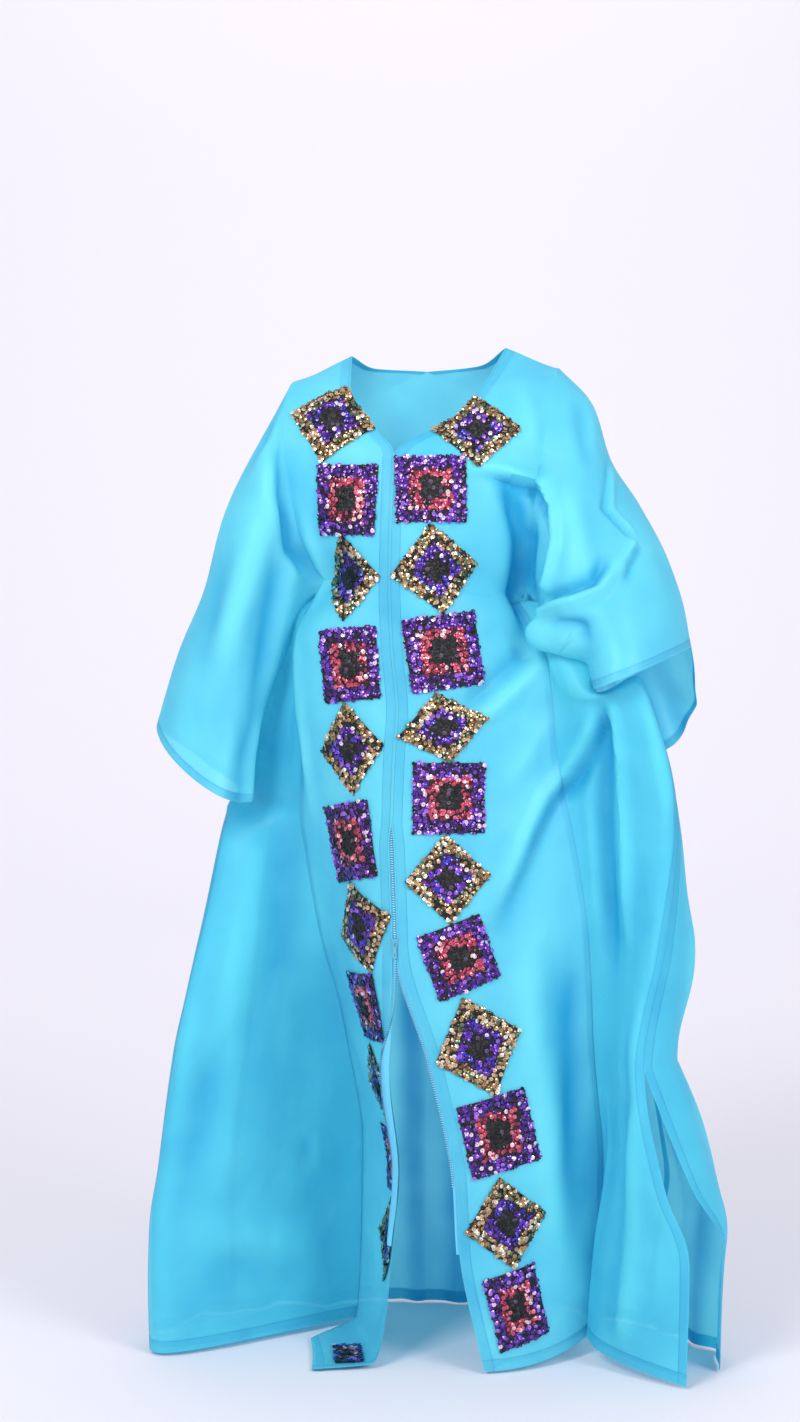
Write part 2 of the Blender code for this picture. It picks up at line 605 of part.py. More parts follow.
def patch_sheet(side, z, run, tilt, turn, size, drawn, ground):
    """A square patch laid on a front panel, clear of every facet under it. It is turned, drawn
    to its width and height, and tilted."""
    level = level_at(side, z)
    share = share_at(side, level, run)
    lowest = len(FRONT_PANEL[side]) - 1 - STEP
    middle, out, down, across = cloth_frame(side, level, share)
    sideways = across / np.linalg.norm(across) * side
    downward = np.cross(sideways, out)
    downward = downward * -np.sign(downward[2])
    angle = math.radians(tilt)
    right_way = sideways * math.cos(angle) + downward * math.sin(angle)
    down_way = downward * math.cos(angle) - sideways * math.sin(angle)
    spread = np.linspace(-size / 2, size / 2, PATCH_CELLS + 1)
    plane = np.stack((right_way, down_way))
    across_turn, down_turn = math.cos(math.radians(turn)), math.sin(math.radians(turn))
    points = np.empty((PATCH_CELLS + 1, PATCH_CELLS + 1, 3))
    for r, q in enumerate(spread):
        for c, p in enumerate(spread):
            place = np.array((level, share))
            target = np.array((p * across_turn - q * down_turn, p * down_turn + q * across_turn))
            target = target * drawn
            for _ in range(LAYING_ROUNDS):
                spot, _, down, across = cloth_frame(side, *place)
                miss = plane @ (middle - spot) + target
                slope = plane @ np.stack((down, across), axis=1)
                place += np.linalg.lstsq(slope, miss, rcond=None)[0]
                place = np.clip(place, 0, (lowest, 1))
            spot = cloth_frame(side, *place)[0]
            points[r, c] = spot + out * height_over(ground, spot, out)
    highest = 0.0
    fine = np.linspace(0, PATCH_CELLS, PATCH_CELLS * PATCH_CHECKS + 1)
    for r in fine:
        for c in fine:
            k, n = min(int(r), PATCH_CELLS - 1), min(int(c), PATCH_CELLS - 1)
            u, v = r - k, c - n
            a, b, e, f = points[k, n], points[k + 1, n], points[k + 1, n + 1], points[k, n + 1]
            if u > v:
                spot = a * (1 - u) + b * (u - v) + e * v
            else:
                spot = a * (1 - v) + f * (v - u) + e * u
            highest = max(highest, height_over(ground, spot, out))
    return Sheet(points + out * (highest + PATCH_LIFT + PATCH_THICK), 1)


for side in (RIGHT, LEFT):
    ground = facets(fronts[side])
    for number, (z, run, tilt, *drawn) in enumerate(PATCHES[side], start=1):
        turned = number % 2 == 1
        size, turn = (PATCH_TURNED, 45) if turned else (PATCH_UPRIGHT, 0)
        made_of = GOLD_SEQUINS if turned else PURPLE_SEQUINS
        sheet = patch_sheet(side, z, run, tilt, turn, size, drawn, ground)
        wall(f"patch_{SIDE_NAMES[side]}_{number:02d}", [sheet], PATCH_THICK, made_of)


# ---------------------------------------------------------------------------------- the zip
def zip_tape(side):
    """Half of the zip: a tape sewn behind a front edge, with the teeth on its other edge."""
    points, out = fronts[side].points, fronts[side].out
    rows = range(NECK_POINT * ROWS_PER_SECTION, SHIN * ROWS_PER_SECTION + 1)
    spots = np.empty((len(rows), 3, 3))
    turned_out = {row[0]: np.reshape(row[1:], (3, 2)) for row in LAPEL}
    for k, r in enumerate(rows):
        level = r / ROWS_PER_SECTION
        inward = points[r, 1] - points[r, 0]
        inward = inward / np.linalg.norm(inward)
        gap = edge_gap(points[r, 0, 2]) - TEETH_GAP
        sewn = np.array((TAPE_WIDTH, -TAPE_BEHIND))
        teeth = np.array((-gap, -TAPE_BEHIND))
        middle = (sewn + teeth) / 2
        if level > ZIP and side == LEFT:
            teeth[0] -= TEETH_REACH
        if level >= ZIP and side == RIGHT:
            sewn, middle, teeth = turned_out[level]
        for c, (away, front) in enumerate((teeth, middle, sewn)):
            along = inward if away > 0 or level > ZIP else np.array((side, 0.0, 0.0))
            spots[k, c] = points[r, 0] + along * away + out[r, 0] * front
    tape = Sheet(spots, side)
    tape.out[: CLOSED_ROWS.stop - CLOSED_ROWS.start] = out[CLOSED_ROWS, :1]
    return tape


def cuboid(name, size, centre, collection, made_of=None):
    """A block that is shaped or used as a cutter."""
    mesh = bmesh.new()
    bmesh.ops.create_cube(mesh, size=1)
    bmesh.ops.scale(mesh, vec=size, verts=mesh.verts)
    bmesh.ops.translate(mesh, vec=centre, verts=mesh.verts)
    data = bpy.data.meshes.new(name)
    mesh.to_mesh(data)
    mesh.free()
    built = bpy.data.objects.new(name, data)
    collection.objects.link(built)
    if made_of:
        data.materials.append(made_of)
    return built


def combine(target, tool, operation):
    """Joins or cuts with a tool that is kept out of sight."""
    tool.hide_render = True
    tool.display_type = "WIRE"
    step = target.modifiers.new(f"{operation.lower()} {tool.name}", "BOOLEAN")
    step.operation = operation
    step.solver = "EXACT"
    step.object = tool


tools = bpy.data.collections.new("Cutters")
bpy.context.scene.collection.children.link(tools)
for side in (RIGHT, LEFT):
    wall(f"zip_tape_{SIDE_NAMES[side]}", [zip_tape(side)], TAPE_THICK, ZIP_TAPE)

edge = front_panel(LEFT, level_at(LEFT, SLIDER_Z) + np.zeros(1), np.zeros(1))[0]
slider_x = edge[0] - edge_gap(SLIDER_Z)
slider_front = edge[1] - SLIDER_CLEAR - SLIDER_SIZE[1]
slider_middle = (slider_x, slider_front + SLIDER_SIZE[1] / 2, SLIDER_Z)
slider = cuboid("zip_slider", SLIDER_SIZE, slider_middle, robe, ZIP_METAL)
edging = slider.modifiers.new("edges", "BEVEL")
edging.width = SLIDER_EDGE
edging.segments = 2

channel_depth = SLIDER_CLEAR + TAPE_BEHIND - SEAM_GAP + SLIDER_SIZE[1] / 2
channel_middle = (slider_x, slider_middle[1] + channel_depth / 2, SLIDER_Z)
channel_size = (CHANNEL_WIDTH, channel_depth, CHANNEL_HEIGHT)
combine(slider, cuboid("slider channel", channel_size, channel_middle, tools), "UNION")

arch = bpy.data.curves.new("bridge", "CURVE")
arch.dimensions = "3D"
arch.bevel_depth = BRIDGE_WIRE
arch.bevel_resolution = 2
arch.use_fill_caps = True
line = arch.splines.new("POLY")
line.points.add(BRIDGE_POINTS - 1)
for k in range(BRIDGE_POINTS):
    turn = math.radians(BRIDGE_TURN) * (2 * k / (BRIDGE_POINTS - 1) - 1)
    forward, up = BRIDGE_RADIUS * math.cos(turn), BRIDGE_RADIUS * math.sin(turn)
    line.points[k].co = (slider_x, slider_front - forward, SLIDER_Z + up, 1)
bent = bpy.data.objects.new("bridge curve", arch)
tools.objects.link(bent)
bpy.context.view_layer.update()
shown = bent.evaluated_get(bpy.context.evaluated_depsgraph_get())
bridge_mesh = bpy.data.meshes.new_from_object(shown)
bpy.data.objects.remove(bent)
welded = bmesh.new()
welded.from_mesh(bridge_mesh)
bmesh.ops.remove_doubles(welded, verts=welded.verts, dist=WELD)
bmesh.ops.recalc_face_normals(welded, faces=welded.faces)
welded.to_mesh(bridge_mesh)
welded.free()
bridge = bpy.data.objects.new("slider bridge", bridge_mesh)
tools.objects.link(bridge)
combine(slider, bridge, "UNION")

axis = (slider_x, slider_front - TAB_AXIS[0], SLIDER_Z - TAB_AXIS[1])
tab_height = TAB_SIZE[2] + TAB_TOP
tab_middle = (0, 0, TAB_TOP - tab_height / 2)
tab = cuboid("zip_pull_tab", (TAB_SIZE[0], TAB_SIZE[1], tab_height), tab_middle, robe, ZIP_METAL)
tab.location = axis
rounding = tab.modifiers.new("corners", "BEVEL")
rounding.width = TAB_EDGE
rounding.segments = 1
slot_size = (TAB_SLOT[0], CUTTER_DEPTH, TAB_SLOT[2] - TAB_SLOT[1])
slot_middle = (axis[0], axis[1], axis[2] - (TAB_SLOT[1] + TAB_SLOT[2]) / 2)
combine(tab, cuboid("tab slot", slot_size, slot_middle, tools), "DIFFERENCE")
punch = bmesh.new()
bmesh.ops.create_cone(
    punch,
    cap_ends=True,
    segments=TAB_HOLE_SIDES,
    radius1=TAB_HOLE_RADIUS,
    radius2=TAB_HOLE_RADIUS,
    depth=CUTTER_DEPTH,
)
punch_mesh = bpy.data.meshes.new("tab hole")
punch.to_mesh(punch_mesh)
punch.free()
hole = bpy.data.objects.new("tab hole", punch_mesh)
hole.rotation_euler = (math.radians(90), 0, 0)
hole.location = (axis[0], axis[1], axis[2] - TAB_HOLE_DROP)
tools.objects.link(hole)
combine(tab, hole, "DIFFERENCE")
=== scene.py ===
"""The looks of a grand boubou: crisp organza in panels, gores and wide sleeves, a front zip that
is open below the hip, and two columns of sequin squares. Right and left are the wearer's, so the
right side is at -X. The front faces -Y, and the robe hangs from the neck, at the origin."""

import math

import bpy
import numpy as np
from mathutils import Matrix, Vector


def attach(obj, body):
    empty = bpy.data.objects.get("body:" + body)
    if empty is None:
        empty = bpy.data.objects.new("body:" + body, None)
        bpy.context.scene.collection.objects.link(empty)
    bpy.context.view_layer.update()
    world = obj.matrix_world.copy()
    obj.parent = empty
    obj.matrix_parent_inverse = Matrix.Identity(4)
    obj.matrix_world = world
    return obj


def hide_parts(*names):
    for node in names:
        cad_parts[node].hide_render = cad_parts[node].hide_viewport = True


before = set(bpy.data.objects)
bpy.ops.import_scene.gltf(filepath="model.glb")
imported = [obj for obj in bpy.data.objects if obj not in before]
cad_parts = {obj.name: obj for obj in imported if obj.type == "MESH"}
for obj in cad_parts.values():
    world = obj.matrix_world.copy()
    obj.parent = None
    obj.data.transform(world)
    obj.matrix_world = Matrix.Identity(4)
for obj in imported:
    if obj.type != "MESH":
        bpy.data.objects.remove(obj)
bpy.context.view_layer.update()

# ------------------------------------------------------------------------------ cut of the sleeves
# Each sleeve is one wide tube of organza, cut on to the shoulder, so it has a fold and no seam on
# top. It is measured in rings from the armhole to the cuff.
RIGHT, LEFT = -1, 1
SIDES = {RIGHT: "right", LEFT: "left"}
# columns: x, y, z of the top, x, y, z of the lower edge, then how far the middles of the front
# and of the back wall lie from the ring's centre.
SLEEVE = {
    RIGHT: (
        (-0.183, 0.020, -0.046, -0.150, -0.010, -0.338, -0.035, -0.085, 0.020, -0.03, 0.085, 0.02),
        (-0.228, 0.000, -0.117, -0.179, -0.010, -0.384, -0.022, -0.098, 0.010, -0.02, 0.100, 0.01),
        (-0.295, -0.005, -0.250, -0.213, -0.010, -0.470, -0.010, -0.100, 0.0, -0.01, 0.105, 0.0),
        (-0.325, -0.010, -0.352, -0.237, -0.012, -0.537, -0.005, -0.100, -0.008, 0.0, 0.100, 0.0),
        (-0.362, -0.010, -0.441, -0.248, -0.012, -0.600, 0.000, -0.096, -0.020, 0.0, 0.095, -0.010),
        (-0.396, -0.010, -0.552, -0.252, -0.012, -0.655, 0.000, -0.090, -0.030, 0.0, 0.090, -0.015),
    ),
    LEFT: (
        (0.202, 0.020, -0.024, 0.150, -0.020, -0.366, -0.012, -0.098, 0.010, 0.010, 0.092, 0.01),
        (0.250, 0.005, -0.084, 0.166, -0.048, -0.374, -0.012, -0.105, 0.010, 0.010, 0.110, 0.01),
        (0.277, -0.005, -0.164, 0.166, -0.088, -0.390, -0.005, -0.110, 0.010, 0.005, 0.130, 0.0),
        (0.316, -0.015, -0.225, 0.172, -0.120, -0.410, 0.000, -0.110, 0.0, 0.010, 0.140, -0.020),
        (0.354, -0.035, -0.303, 0.202, -0.135, -0.412, 0.000, -0.110, 0.0, 0.020, 0.130, -0.050),
        (0.378, -0.060, -0.377, 0.228, -0.150, -0.443, 0.000, -0.105, 0.0, 0.030, 0.120, -0.085),
        (0.387, -0.085, -0.434, 0.240, -0.165, -0.491, -0.010, -0.100, 0.0, 0.045, 0.115, -0.126),
    ),
}
ARMHOLE_SHARES = (0.0, 0.2, 0.38, 0.54, 0.77, 1.0)


def slopes(table):
    """Slopes at the rows of a table, such that a curve through them never overshoots."""
    step = np.diff(table, axis=0)
    inner = np.where(step[1:] * step[:-1] > 0, 2 * step[1:] * step[:-1], 0)
    inner = inner / np.where(inner == 0, 1, step[1:] + step[:-1])
    return np.vstack((step[:1], inner, step[-1:]))


def read_table(table, level):
    """Values of every column at levels between the rows."""
    table = np.asarray(table, float)
    slope = slopes(table)
    level = np.clip(level, 0, len(table) - 1)
    row = np.minimum(level.astype(int), len(table) - 2)
    t = (level - row)[..., None]
    a, b = table[row], table[row + 1]
    da, db = slope[row], slope[row + 1]
    keep = (1 + 2 * t) * (1 - t) ** 2 * a + t * t * (3 - 2 * t) * b
    return keep + t * (1 - t) ** 2 * da - t * t * (1 - t) * db


def ring_point(side, ring, turn):
    """A point of a sleeve: turn is 0 at its top, 1 at its lower edge and negative behind."""
    row = read_table(SLEEVE[side], ring)
    top, low, front, back = row[..., :3], row[..., 3:6], row[..., 6:9], row[..., 9:]
    angle = (np.pi * np.asarray(turn))[..., None]
    bow = np.where(angle >= 0, front, back) * np.abs(np.sin(angle))
    return (top + low) / 2 + (top - low) / 2 * np.cos(angle) + bow


def armhole(side, level, front):
    """The armhole at an upper section, on the front or the back."""
    turn = np.interp(level, range(len(ARMHOLE_SHARES)), ARMHOLE_SHARES)
    return ring_point(side, np.zeros_like(turn), turn if front else -turn)


# ---------------------------------------------------------------------------- cut of the fronts
# Two long panels from the shoulder to the hem, joined by the zip. They are measured in sections,
# from the shoulder (0), by the underarm (5) and the hip (10), to the hem (15) and the floor (16).
NECK_POINT, UNDERARM, ZIP, SLIT_TOP, SHIN, HEM, FLOOR = 3, 5, 11, 12, 14, 15, 16
MERGE = 4.2  # from here on the armhole's edge nears the gore seam
HANDLE = 0.37  # a plan curve's handles, as a share of its chord
FRONT_PANEL = {
    RIGHT: (
        (-0.107, 0.020, -0.006, 0, 0, 0, 0, 0),
        (-0.108, -0.045, -0.058, 0, 0, 0, 0, 15),
        (-0.068, -0.098, -0.122, 0, 0, 0, 0, 20),
        (-0.045, -0.120, -0.157, 5, 0, 0, 0, 25),
        (-0.049, -0.136, -0.250, 5, 0, 0, 0, 35),
        (-0.051, -0.142, -0.345, 8, -0.143, -0.040, -0.338, 65),
        (-0.048, -0.150, -0.430, 10, -0.188, -0.052, -0.430, 80),
        (-0.040, -0.162, -0.520, 15, -0.187, -0.055, -0.520, 75),
        (-0.044, -0.169, -0.580, 20, -0.185, -0.050, -0.580, 62),
        (-0.047, -0.175, -0.655, 25, -0.186, -0.040, -0.655, 52),
        (-0.048, -0.178, -0.695, 28, -0.184, -0.034, -0.695, 50),
        (-0.043, -0.183, -0.860, 25, -0.155, 0.005, -0.860, 66),
        (-0.050, -0.168, -1.030, 72, -0.118, 0.075, -1.030, 75),
        (-0.033, -0.128, -1.200, 92, -0.093, 0.125, -1.200, 80),
        (-0.041, -0.105, -1.310, 95, -0.094, 0.130, -1.310, 80),
        (-0.072, -0.125, -1.477, 90, -0.105, 0.120, -1.477, 85),
        (-0.160, -0.138, -1.483, 90, -0.170, 0.018, -1.483, 85),
    ),
    LEFT: (
        (0.121, 0.020, 0.006, 0, 0, 0, 0, 0),
        (0.086, -0.045, -0.052, 0, 0, 0, 0, 15),
        (0.047, -0.088, -0.098, 0, 0, 0, 0, 20),
        (-0.043, -0.120, -0.157, -8, 0, 0, 0, 25),
        (-0.049, -0.136, -0.250, -8, 0, 0, 0, 35),
        (-0.051, -0.142, -0.345, -10, 0.143, -0.050, -0.362, 60),
        (-0.048, -0.150, -0.430, -10, 0.166, -0.085, -0.435, 35),
        (-0.040, -0.162, -0.520, -8, 0.184, -0.115, -0.500, 10),
        (-0.044, -0.169, -0.580, -5, 0.190, -0.122, -0.575, 5),
        (-0.047, -0.175, -0.655, 0, 0.205, -0.118, -0.655, 10),
        (-0.048, -0.178, -0.695, 0, 0.214, -0.115, -0.695, 15),
        (-0.043, -0.183, -0.860, 5, 0.240, -0.100, -0.860, 20),
        (0.006, -0.172, -1.030, 5, 0.250, -0.070, -1.030, 30),
        (0.041, -0.165, -1.200, 5, 0.264, -0.055, -1.190, 40),
        (0.047, -0.160, -1.310, 0, 0.264, -0.040, -1.300, 48),
        (0.083, -0.150, -1.483, 5, 0.262, -0.028, -1.450, 50),
    ),
}
CENTRE_FRONT = [row[:3] for row in FRONT_PANEL[RIGHT][NECK_POINT : ZIP + 1]]
HALF_GAP = 0.00015  # half of what the edges leave between them where the zip is closed
EXPOSED_Z = -0.683  # the folded edge ends here and the teeth show below it
EXPOSED_GAP = 0.0035  # from the teeth to each front edge
PARTING = 0.03  # the edges part over this height


def plan_curve(start, start_turn, end, end_turn, share, side):
    """Points of a curve that is drawn in plan between two stations. Heights are even."""
    chord = np.linalg.norm((end - start)[..., :2], axis=-1)[..., None] * HANDLE

    def handle(turn):
        angle = np.radians(turn)
        flat = np.zeros_like(angle)
        return chord * np.stack((side * np.cos(angle), np.sin(angle), flat), -1)

    t = share[..., None]
    b = start + handle(start_turn) + (end - start) * (0, 0, 1 / 3)
    c = end - handle(end_turn) - (end - start) * (0, 0, 1 / 3)
    return start * (1 - t) ** 3 + 3 * b * t * (1 - t) ** 2 + 3 * c * t * t * (1 - t) + end * t**3


def edge_gap(z):
    """How far a front edge stands from the teeth: none while the folded edge hides them."""
    return HALF_GAP + EXPOSED_GAP * np.clip((EXPOSED_Z - z) / PARTING, 0, 1)


def front_panel(side, level, share):
    """A front panel: share is 0 at the front edge and 1 at the gore seam or the armhole."""
    row = read_table(FRONT_PANEL[side], level)
    lower = read_table(FRONT_PANEL[side][UNDERARM:], level - UNDERARM)
    upper = (level < UNDERARM)[..., None]
    nearing = np.clip((level - MERGE) / (UNDERARM - MERGE), 0, 1)[..., None]
    nearing = nearing * nearing * (3 - 2 * nearing)
    end = armhole(side, level, True) * (1 - nearing) + lower[..., 4:7] * nearing
    end = np.where(upper, end, lower[..., 4:7])
    closed = ((level >= NECK_POINT) & (level <= ZIP))[..., None]
    middle = read_table(CENTRE_FRONT, level - NECK_POINT)
    start = np.where(closed, middle, row[..., :3])
    start[..., 0] += side * edge_gap(start[..., 2])
    point = plan_curve(start, row[..., 3], end, row[..., 7], share, side)
    late = (share**2 - share) * (end - start)[..., 2] * (level > UNDERARM)
    point[..., 2] += late
    return point


# ----------------------------------------------------------------------------- cut of the gores
# Flared gores of the same organza between the fronts and the back, from the underarm to the hem.
# Below the knee their side seams are left open as slits.
FRONT_GORE = {
    RIGHT: (
        (65, -0.150, -0.010, -0.338, 90),
        (85, -0.192, 0.060, -0.430, 90),
        (75, -0.226, 0.116, -0.520, 110),
        (72, -0.252, 0.122, -0.580, 115),
        (75, -0.275, 0.118, -0.655, 115),
        (40, -0.298, 0.035, -0.700, 100),
        (10, -0.333, -0.008, -0.860, 90),
        (-10, -0.368, -0.015, -1.030, 90),
        (-28, -0.397, -0.020, -1.200, 90),
        (-30, -0.410, -0.022, -1.310, 90),
        (-30, -0.409, -0.020, -1.483, 90),
    ),
    LEFT: (
        (60, 0.150, -0.020, -0.366, 90),
        (30, 0.204, -0.084, -0.440, 75),
        (10, 0.243, -0.158, -0.502, 60),
        (-20, 0.300, -0.180, -0.472, 95),
        (-15, 0.338, -0.185, -0.565, 90),
        (-10, 0.362, -0.175, -0.695, 70),
        (-20, 0.342, -0.200, -0.860, 40),
        (-40, 0.310, -0.215, -1.030, 20),
        (-75, 0.340, -0.220, -1.200, -10),
        (-115, 0.375, -0.224, -1.310, -20),
        (-135, 0.372, -0.225, -1.483, -30),
    ),
}
SLIT_BACK_EDGE = {
    RIGHT: (
        (-0.368, -0.015, -1.030), (-0.397, -0.012, -1.200),
        (-0.408, 0.002, -1.310), (-0.405, 0.025, -1.483),
    ),
    LEFT: (
        (0.310, -0.215, -1.030), (0.378, -0.205, -1.200),
        (0.428, -0.180, -1.300), (0.428, -0.140, -1.483),
    ),
}


def front_gore(side, level, share):
    """A front gore: share is 0 at its seam with the front panel and 1 at the side seam."""
    ones = np.ones_like(share)
    start = front_panel(side, level, ones)
    row = read_table(FRONT_GORE[side], level - UNDERARM)
    return plan_curve(start, row[..., 0], row[..., 1:4], row[..., 4], share, side)


# ------------------------------------------------------------------------------ cut of the back
# The back hangs in one width from the shoulders, and its sides run on in the back gores.
CENTRE_BACK_TOP = 2
SIDE_DROP = 9.5  # makes the most of share * (1 - share) ** 3 one
BACK = {
    RIGHT: (
        (180, 0.0, 0.0), (165, 0.0, 0.0), (160, 0.0, 0.0), (155, 0.0, 0.0), (140, 0.0, 0.0),
        (100, 0.04, 0.0), (90, 0.20, 0.0), (110, 0.26, 0.0), (115, 0.30, 0.0), (115, 0.33, 0.0),
        (100, 0.38, 0.0), (90, 0.42, 0.0), (90, 0.44, 0.0), (90, 0.44, 0.0), (90, 0.44, 0.0),
        (90, 0.44, 0.0),
    ),
    LEFT: (
        (180, 0.0, 0.0), (165, 0.0, 0.0), (160, 0.0, 0.0), (155, 0.0, 0.0), (140, 0.0, 0.0),
        (100, 0.04, 0.0), (80, 0.24, 0.04), (60, 0.34, 0.10), (95, 0.40, 0.16), (90, 0.42, 0.10),
        (70, 0.42, 0.02), (40, 0.42, 0.0), (20, 0.44, 0.0), (40, 0.44, 0.0), (70, 0.44, 0.0),
        (80, 0.44, 0.0),
    ),
}
CENTRE_BACK = (
    (0.006, 0.088, -0.026),
    (0.006, 0.108, -0.080),
    (0.006, 0.132, -0.200),
    (0.005, 0.146, -0.335),
    (0.005, 0.150, -0.430),
    (0.005, 0.155, -0.520),
    (0.005, 0.160, -0.590),
    (0.005, 0.167, -0.665),
    (0.005, 0.172, -0.720),
    (0.005, 0.185, -0.870),
    (0.005, 0.200, -1.030),
    (0.005, 0.215, -1.200),
    (0.005, 0.230, -1.310),
    (0.005, 0.250, -1.483),
)
BACK_NECKLINE = {
    RIGHT: ((-0.107, 0.020, -0.006), (-0.072, 0.068, -0.022)),
    LEFT: ((0.121, 0.020, 0.006), (0.082, 0.068, -0.019)),
}


def centre_back(side, level):
    """The inner edge of a half of the back: the neckline, and then its middle."""
    neck = read_table(BACK_NECKLINE[side] + CENTRE_BACK[:1], level)
    middle = read_table(CENTRE_BACK, level - CENTRE_BACK_TOP)
    return np.where((level < CENTRE_BACK_TOP)[..., None], neck, middle)


def back(side, level, share):
    """A half of the back, with its gore: share is 0 at the side and 1 at the middle."""
    row = read_table(BACK[side], level)
    joined = front_gore(side, np.maximum(level, UNDERARM), np.ones_like(share))
    split = read_table(SLIT_BACK_EDGE[side], level - SLIT_TOP)
    start = np.where((level <= SLIT_TOP)[..., None], joined, split)
    start = np.where((level < UNDERARM)[..., None], armhole(side, level, False), start)
    end = centre_back(side, level)
    point = plan_curve(start, row[..., 0], end, np.full_like(share, 180.0), share, side)
    point[..., 2] -= row[..., 2] * SIDE_DROP * share * (1 - share) ** 3
    return point


def back_seam(side, level):
    """Where the gore's seam crosses the back, as a share."""
    return read_table(BACK[side], level)[..., 1]


def back_gore(side, level, share):
    """The gore's part of the back: share is 0 at the side and 1 at its seam."""
    return back(side, level, share * back_seam(side, level))


def back_panel(side, level, share):
    """The panel's part of the back: share is 0 at the gore seam and 1 at the middle."""
    seam = np.where(level < UNDERARM, 0, back_seam(side, level))
    return back(side, level, seam + (1 - seam) * share)


# --------------------------------------------------------------------------- fall of the cloth
# The pieces are pinned together at their seams, and the soft folds of worn organza are laid in
# them. A fold crosses a seam without a break, because both pieces share the way out there.
ROWS = 14  # of points in each section
RINGS = 16  # of points in each section of a sleeve
OPEN_ROWS = 2 * ROWS  # the back's rows beside the neck opening
FAR = 0.05  # past any doubled band


def spread(cells):
    """Shares across a piece, closer together by its two edges."""
    edge = np.array((0, 0.006, 0.014, 0.026))
    middle = np.linspace(edge[-1], 1 - edge[-1], cells)
    return np.concatenate((edge[:-1], middle, 1 - edge[-2::-1]))


class Cloth:
    """A grid of points on cloth, with the way out of the robe at each."""

    def __init__(self, points, sign, tube=False):
        self.points, self.sign, self.tube = points, sign, tube
        self.rise = np.zeros(points.shape[:2])
        self.beyond = np.full(points.shape[:2], FAR)  # metres past the nearest doubled band
        self.face_out()

    def face_out(self):
        around = self.points
        if self.tube:
            around = np.concatenate((around[:, -2:-1], around, around[:, 1:2]), axis=1)
        out = np.cross(np.gradient(around, axis=0), np.gradient(around, axis=1)) * self.sign
        out = out / np.maximum(np.linalg.norm(out, axis=-1), 1e-12)[..., None]
        self.out = out[:, 1:-1] if self.tube else out


def panel(form, side, first, last, shares):
    levels = np.linspace(first, last, (last - first) * ROWS + 1)
    level, share = np.meshgrid(levels, shares, indexing="ij")
    return Cloth(form(side, level, share), side)


def sleeve_tube(side):
    levels = np.linspace(0, UNDERARM, UNDERARM * ROWS + 1)
    turns = np.interp(levels, range(len(ARMHOLE_SHARES)), ARMHOLE_SHARES)
    turns = np.concatenate((turns, -turns[-2::-1]))
    last = len(SLEEVE[side]) - 1
    ring, turn = np.meshgrid(np.linspace(0, last, last * RINGS + 1), turns, indexing="ij")
    return Cloth(ring_point(side, ring, turn), -side, tube=True)


def agree(a, b):
    """Gives two edges that meet the same way out."""
    mean = a + b
    mean = mean / np.linalg.norm(mean, axis=-1)[..., None]
    a[...] = mean
    b[...] = mean


def easing(count, reach):
    """How much of a move at an edge each row behind it takes."""
    return np.exp(-((np.arange(count) / reach) ** 2))[:, None]


ARMHOLE_EASE, SEAM_EASE = 12, 6  # in rows
PANEL_SHARES, GORE_SHARES = spread(46), spread(34)
cloths = {}
for side in (RIGHT, LEFT):
    lowest = FLOOR if side == RIGHT else HEM
    cloths["front", side] = panel(front_panel, side, 0, lowest, PANEL_SHARES)
    cloths["gore", side] = panel(front_gore, side, UNDERARM, HEM, GORE_SHARES)
    cloths["gore_behind", side] = panel(back_gore, side, UNDERARM, HEM, GORE_SHARES)
    cloths["back", side] = panel(back_panel, side, 0, HEM, PANEL_SHARES)
    tube = sleeve_tube(side)
    ends = cloths["front", side].points[: UNDERARM * ROWS, -1]
    shift = np.zeros_like(tube.points[0])
    shift[: len(ends)] = ends - tube.points[0, : len(ends)]
    tube.points += easing(len(tube.points), ARMHOLE_EASE)[..., None] * shift
    tube.face_out()
    cloths["sleeve", side] = tube


def from_first(rows):
    return lambda grid: grid[rows].swapaxes(0, 1)


def from_last(rows):
    return lambda grid: grid[rows, ::-1].swapaxes(0, 1)


def seams():
    """Pairs of edges that are sewn together. Each comes with a way to see a grid from it."""
    upper, slit = UNDERARM * ROWS, (SLIT_TOP - UNDERARM) * ROWS
    for side in (RIGHT, LEFT):
        front, gore = cloths["front", side], cloths["gore", side]
        gore_behind, behind = cloths["gore_behind", side], cloths["back", side]
        sleeve = cloths["sleeve", side]
        yield front, lambda g: g, behind, lambda g: g[:, ::-1]
        below = slice(upper + 1, upper + len(gore.points))
        yield front, from_last(below), gore, from_first(slice(1, None))
        joined = slice(0, slit + 1)
        yield gore, from_last(joined), gore_behind, from_first(joined)
        yield gore_behind, from_last(slice(1, None)), behind, from_first(slice(upper + 1, None))
        yield front, from_last(slice(0, upper)), sleeve, lambda g: g[:, :upper]
        yield behind, from_first(slice(0, upper)), sleeve, lambda g: g[:, :upper:-1]
        yield sleeve, from_first(slice(None)), sleeve, from_last(slice(None))
    middle, closed = slice(OPEN_ROWS, None), slice(NECK_POINT * ROWS, ZIP * ROWS + 1)
    yield cloths["back", RIGHT], from_last(middle), cloths["back", LEFT], from_last(middle)
    yield cloths["front", RIGHT], from_first(closed), cloths["front", LEFT], from_first(closed)


def pin_together():
    for _ in range(2):
        for one, see_one, other, see_other in seams():
            agree(see_one(one.out)[0], see_other(other.out)[0])


FORMS = {
    "front": front_panel, "gore": front_gore, "gore_behind": back_gore, "back": back_panel,
    "sleeve": ring_point,
}
LAID_IN = {
    "fore": ("front", "gore", "sleeve"), "rear": ("back", "gore_behind", "sleeve"),
    "sleeve": ("sleeve",), "gore": ("gore",), "front": ("front",), "side": ("gore", "gore_behind"),
}
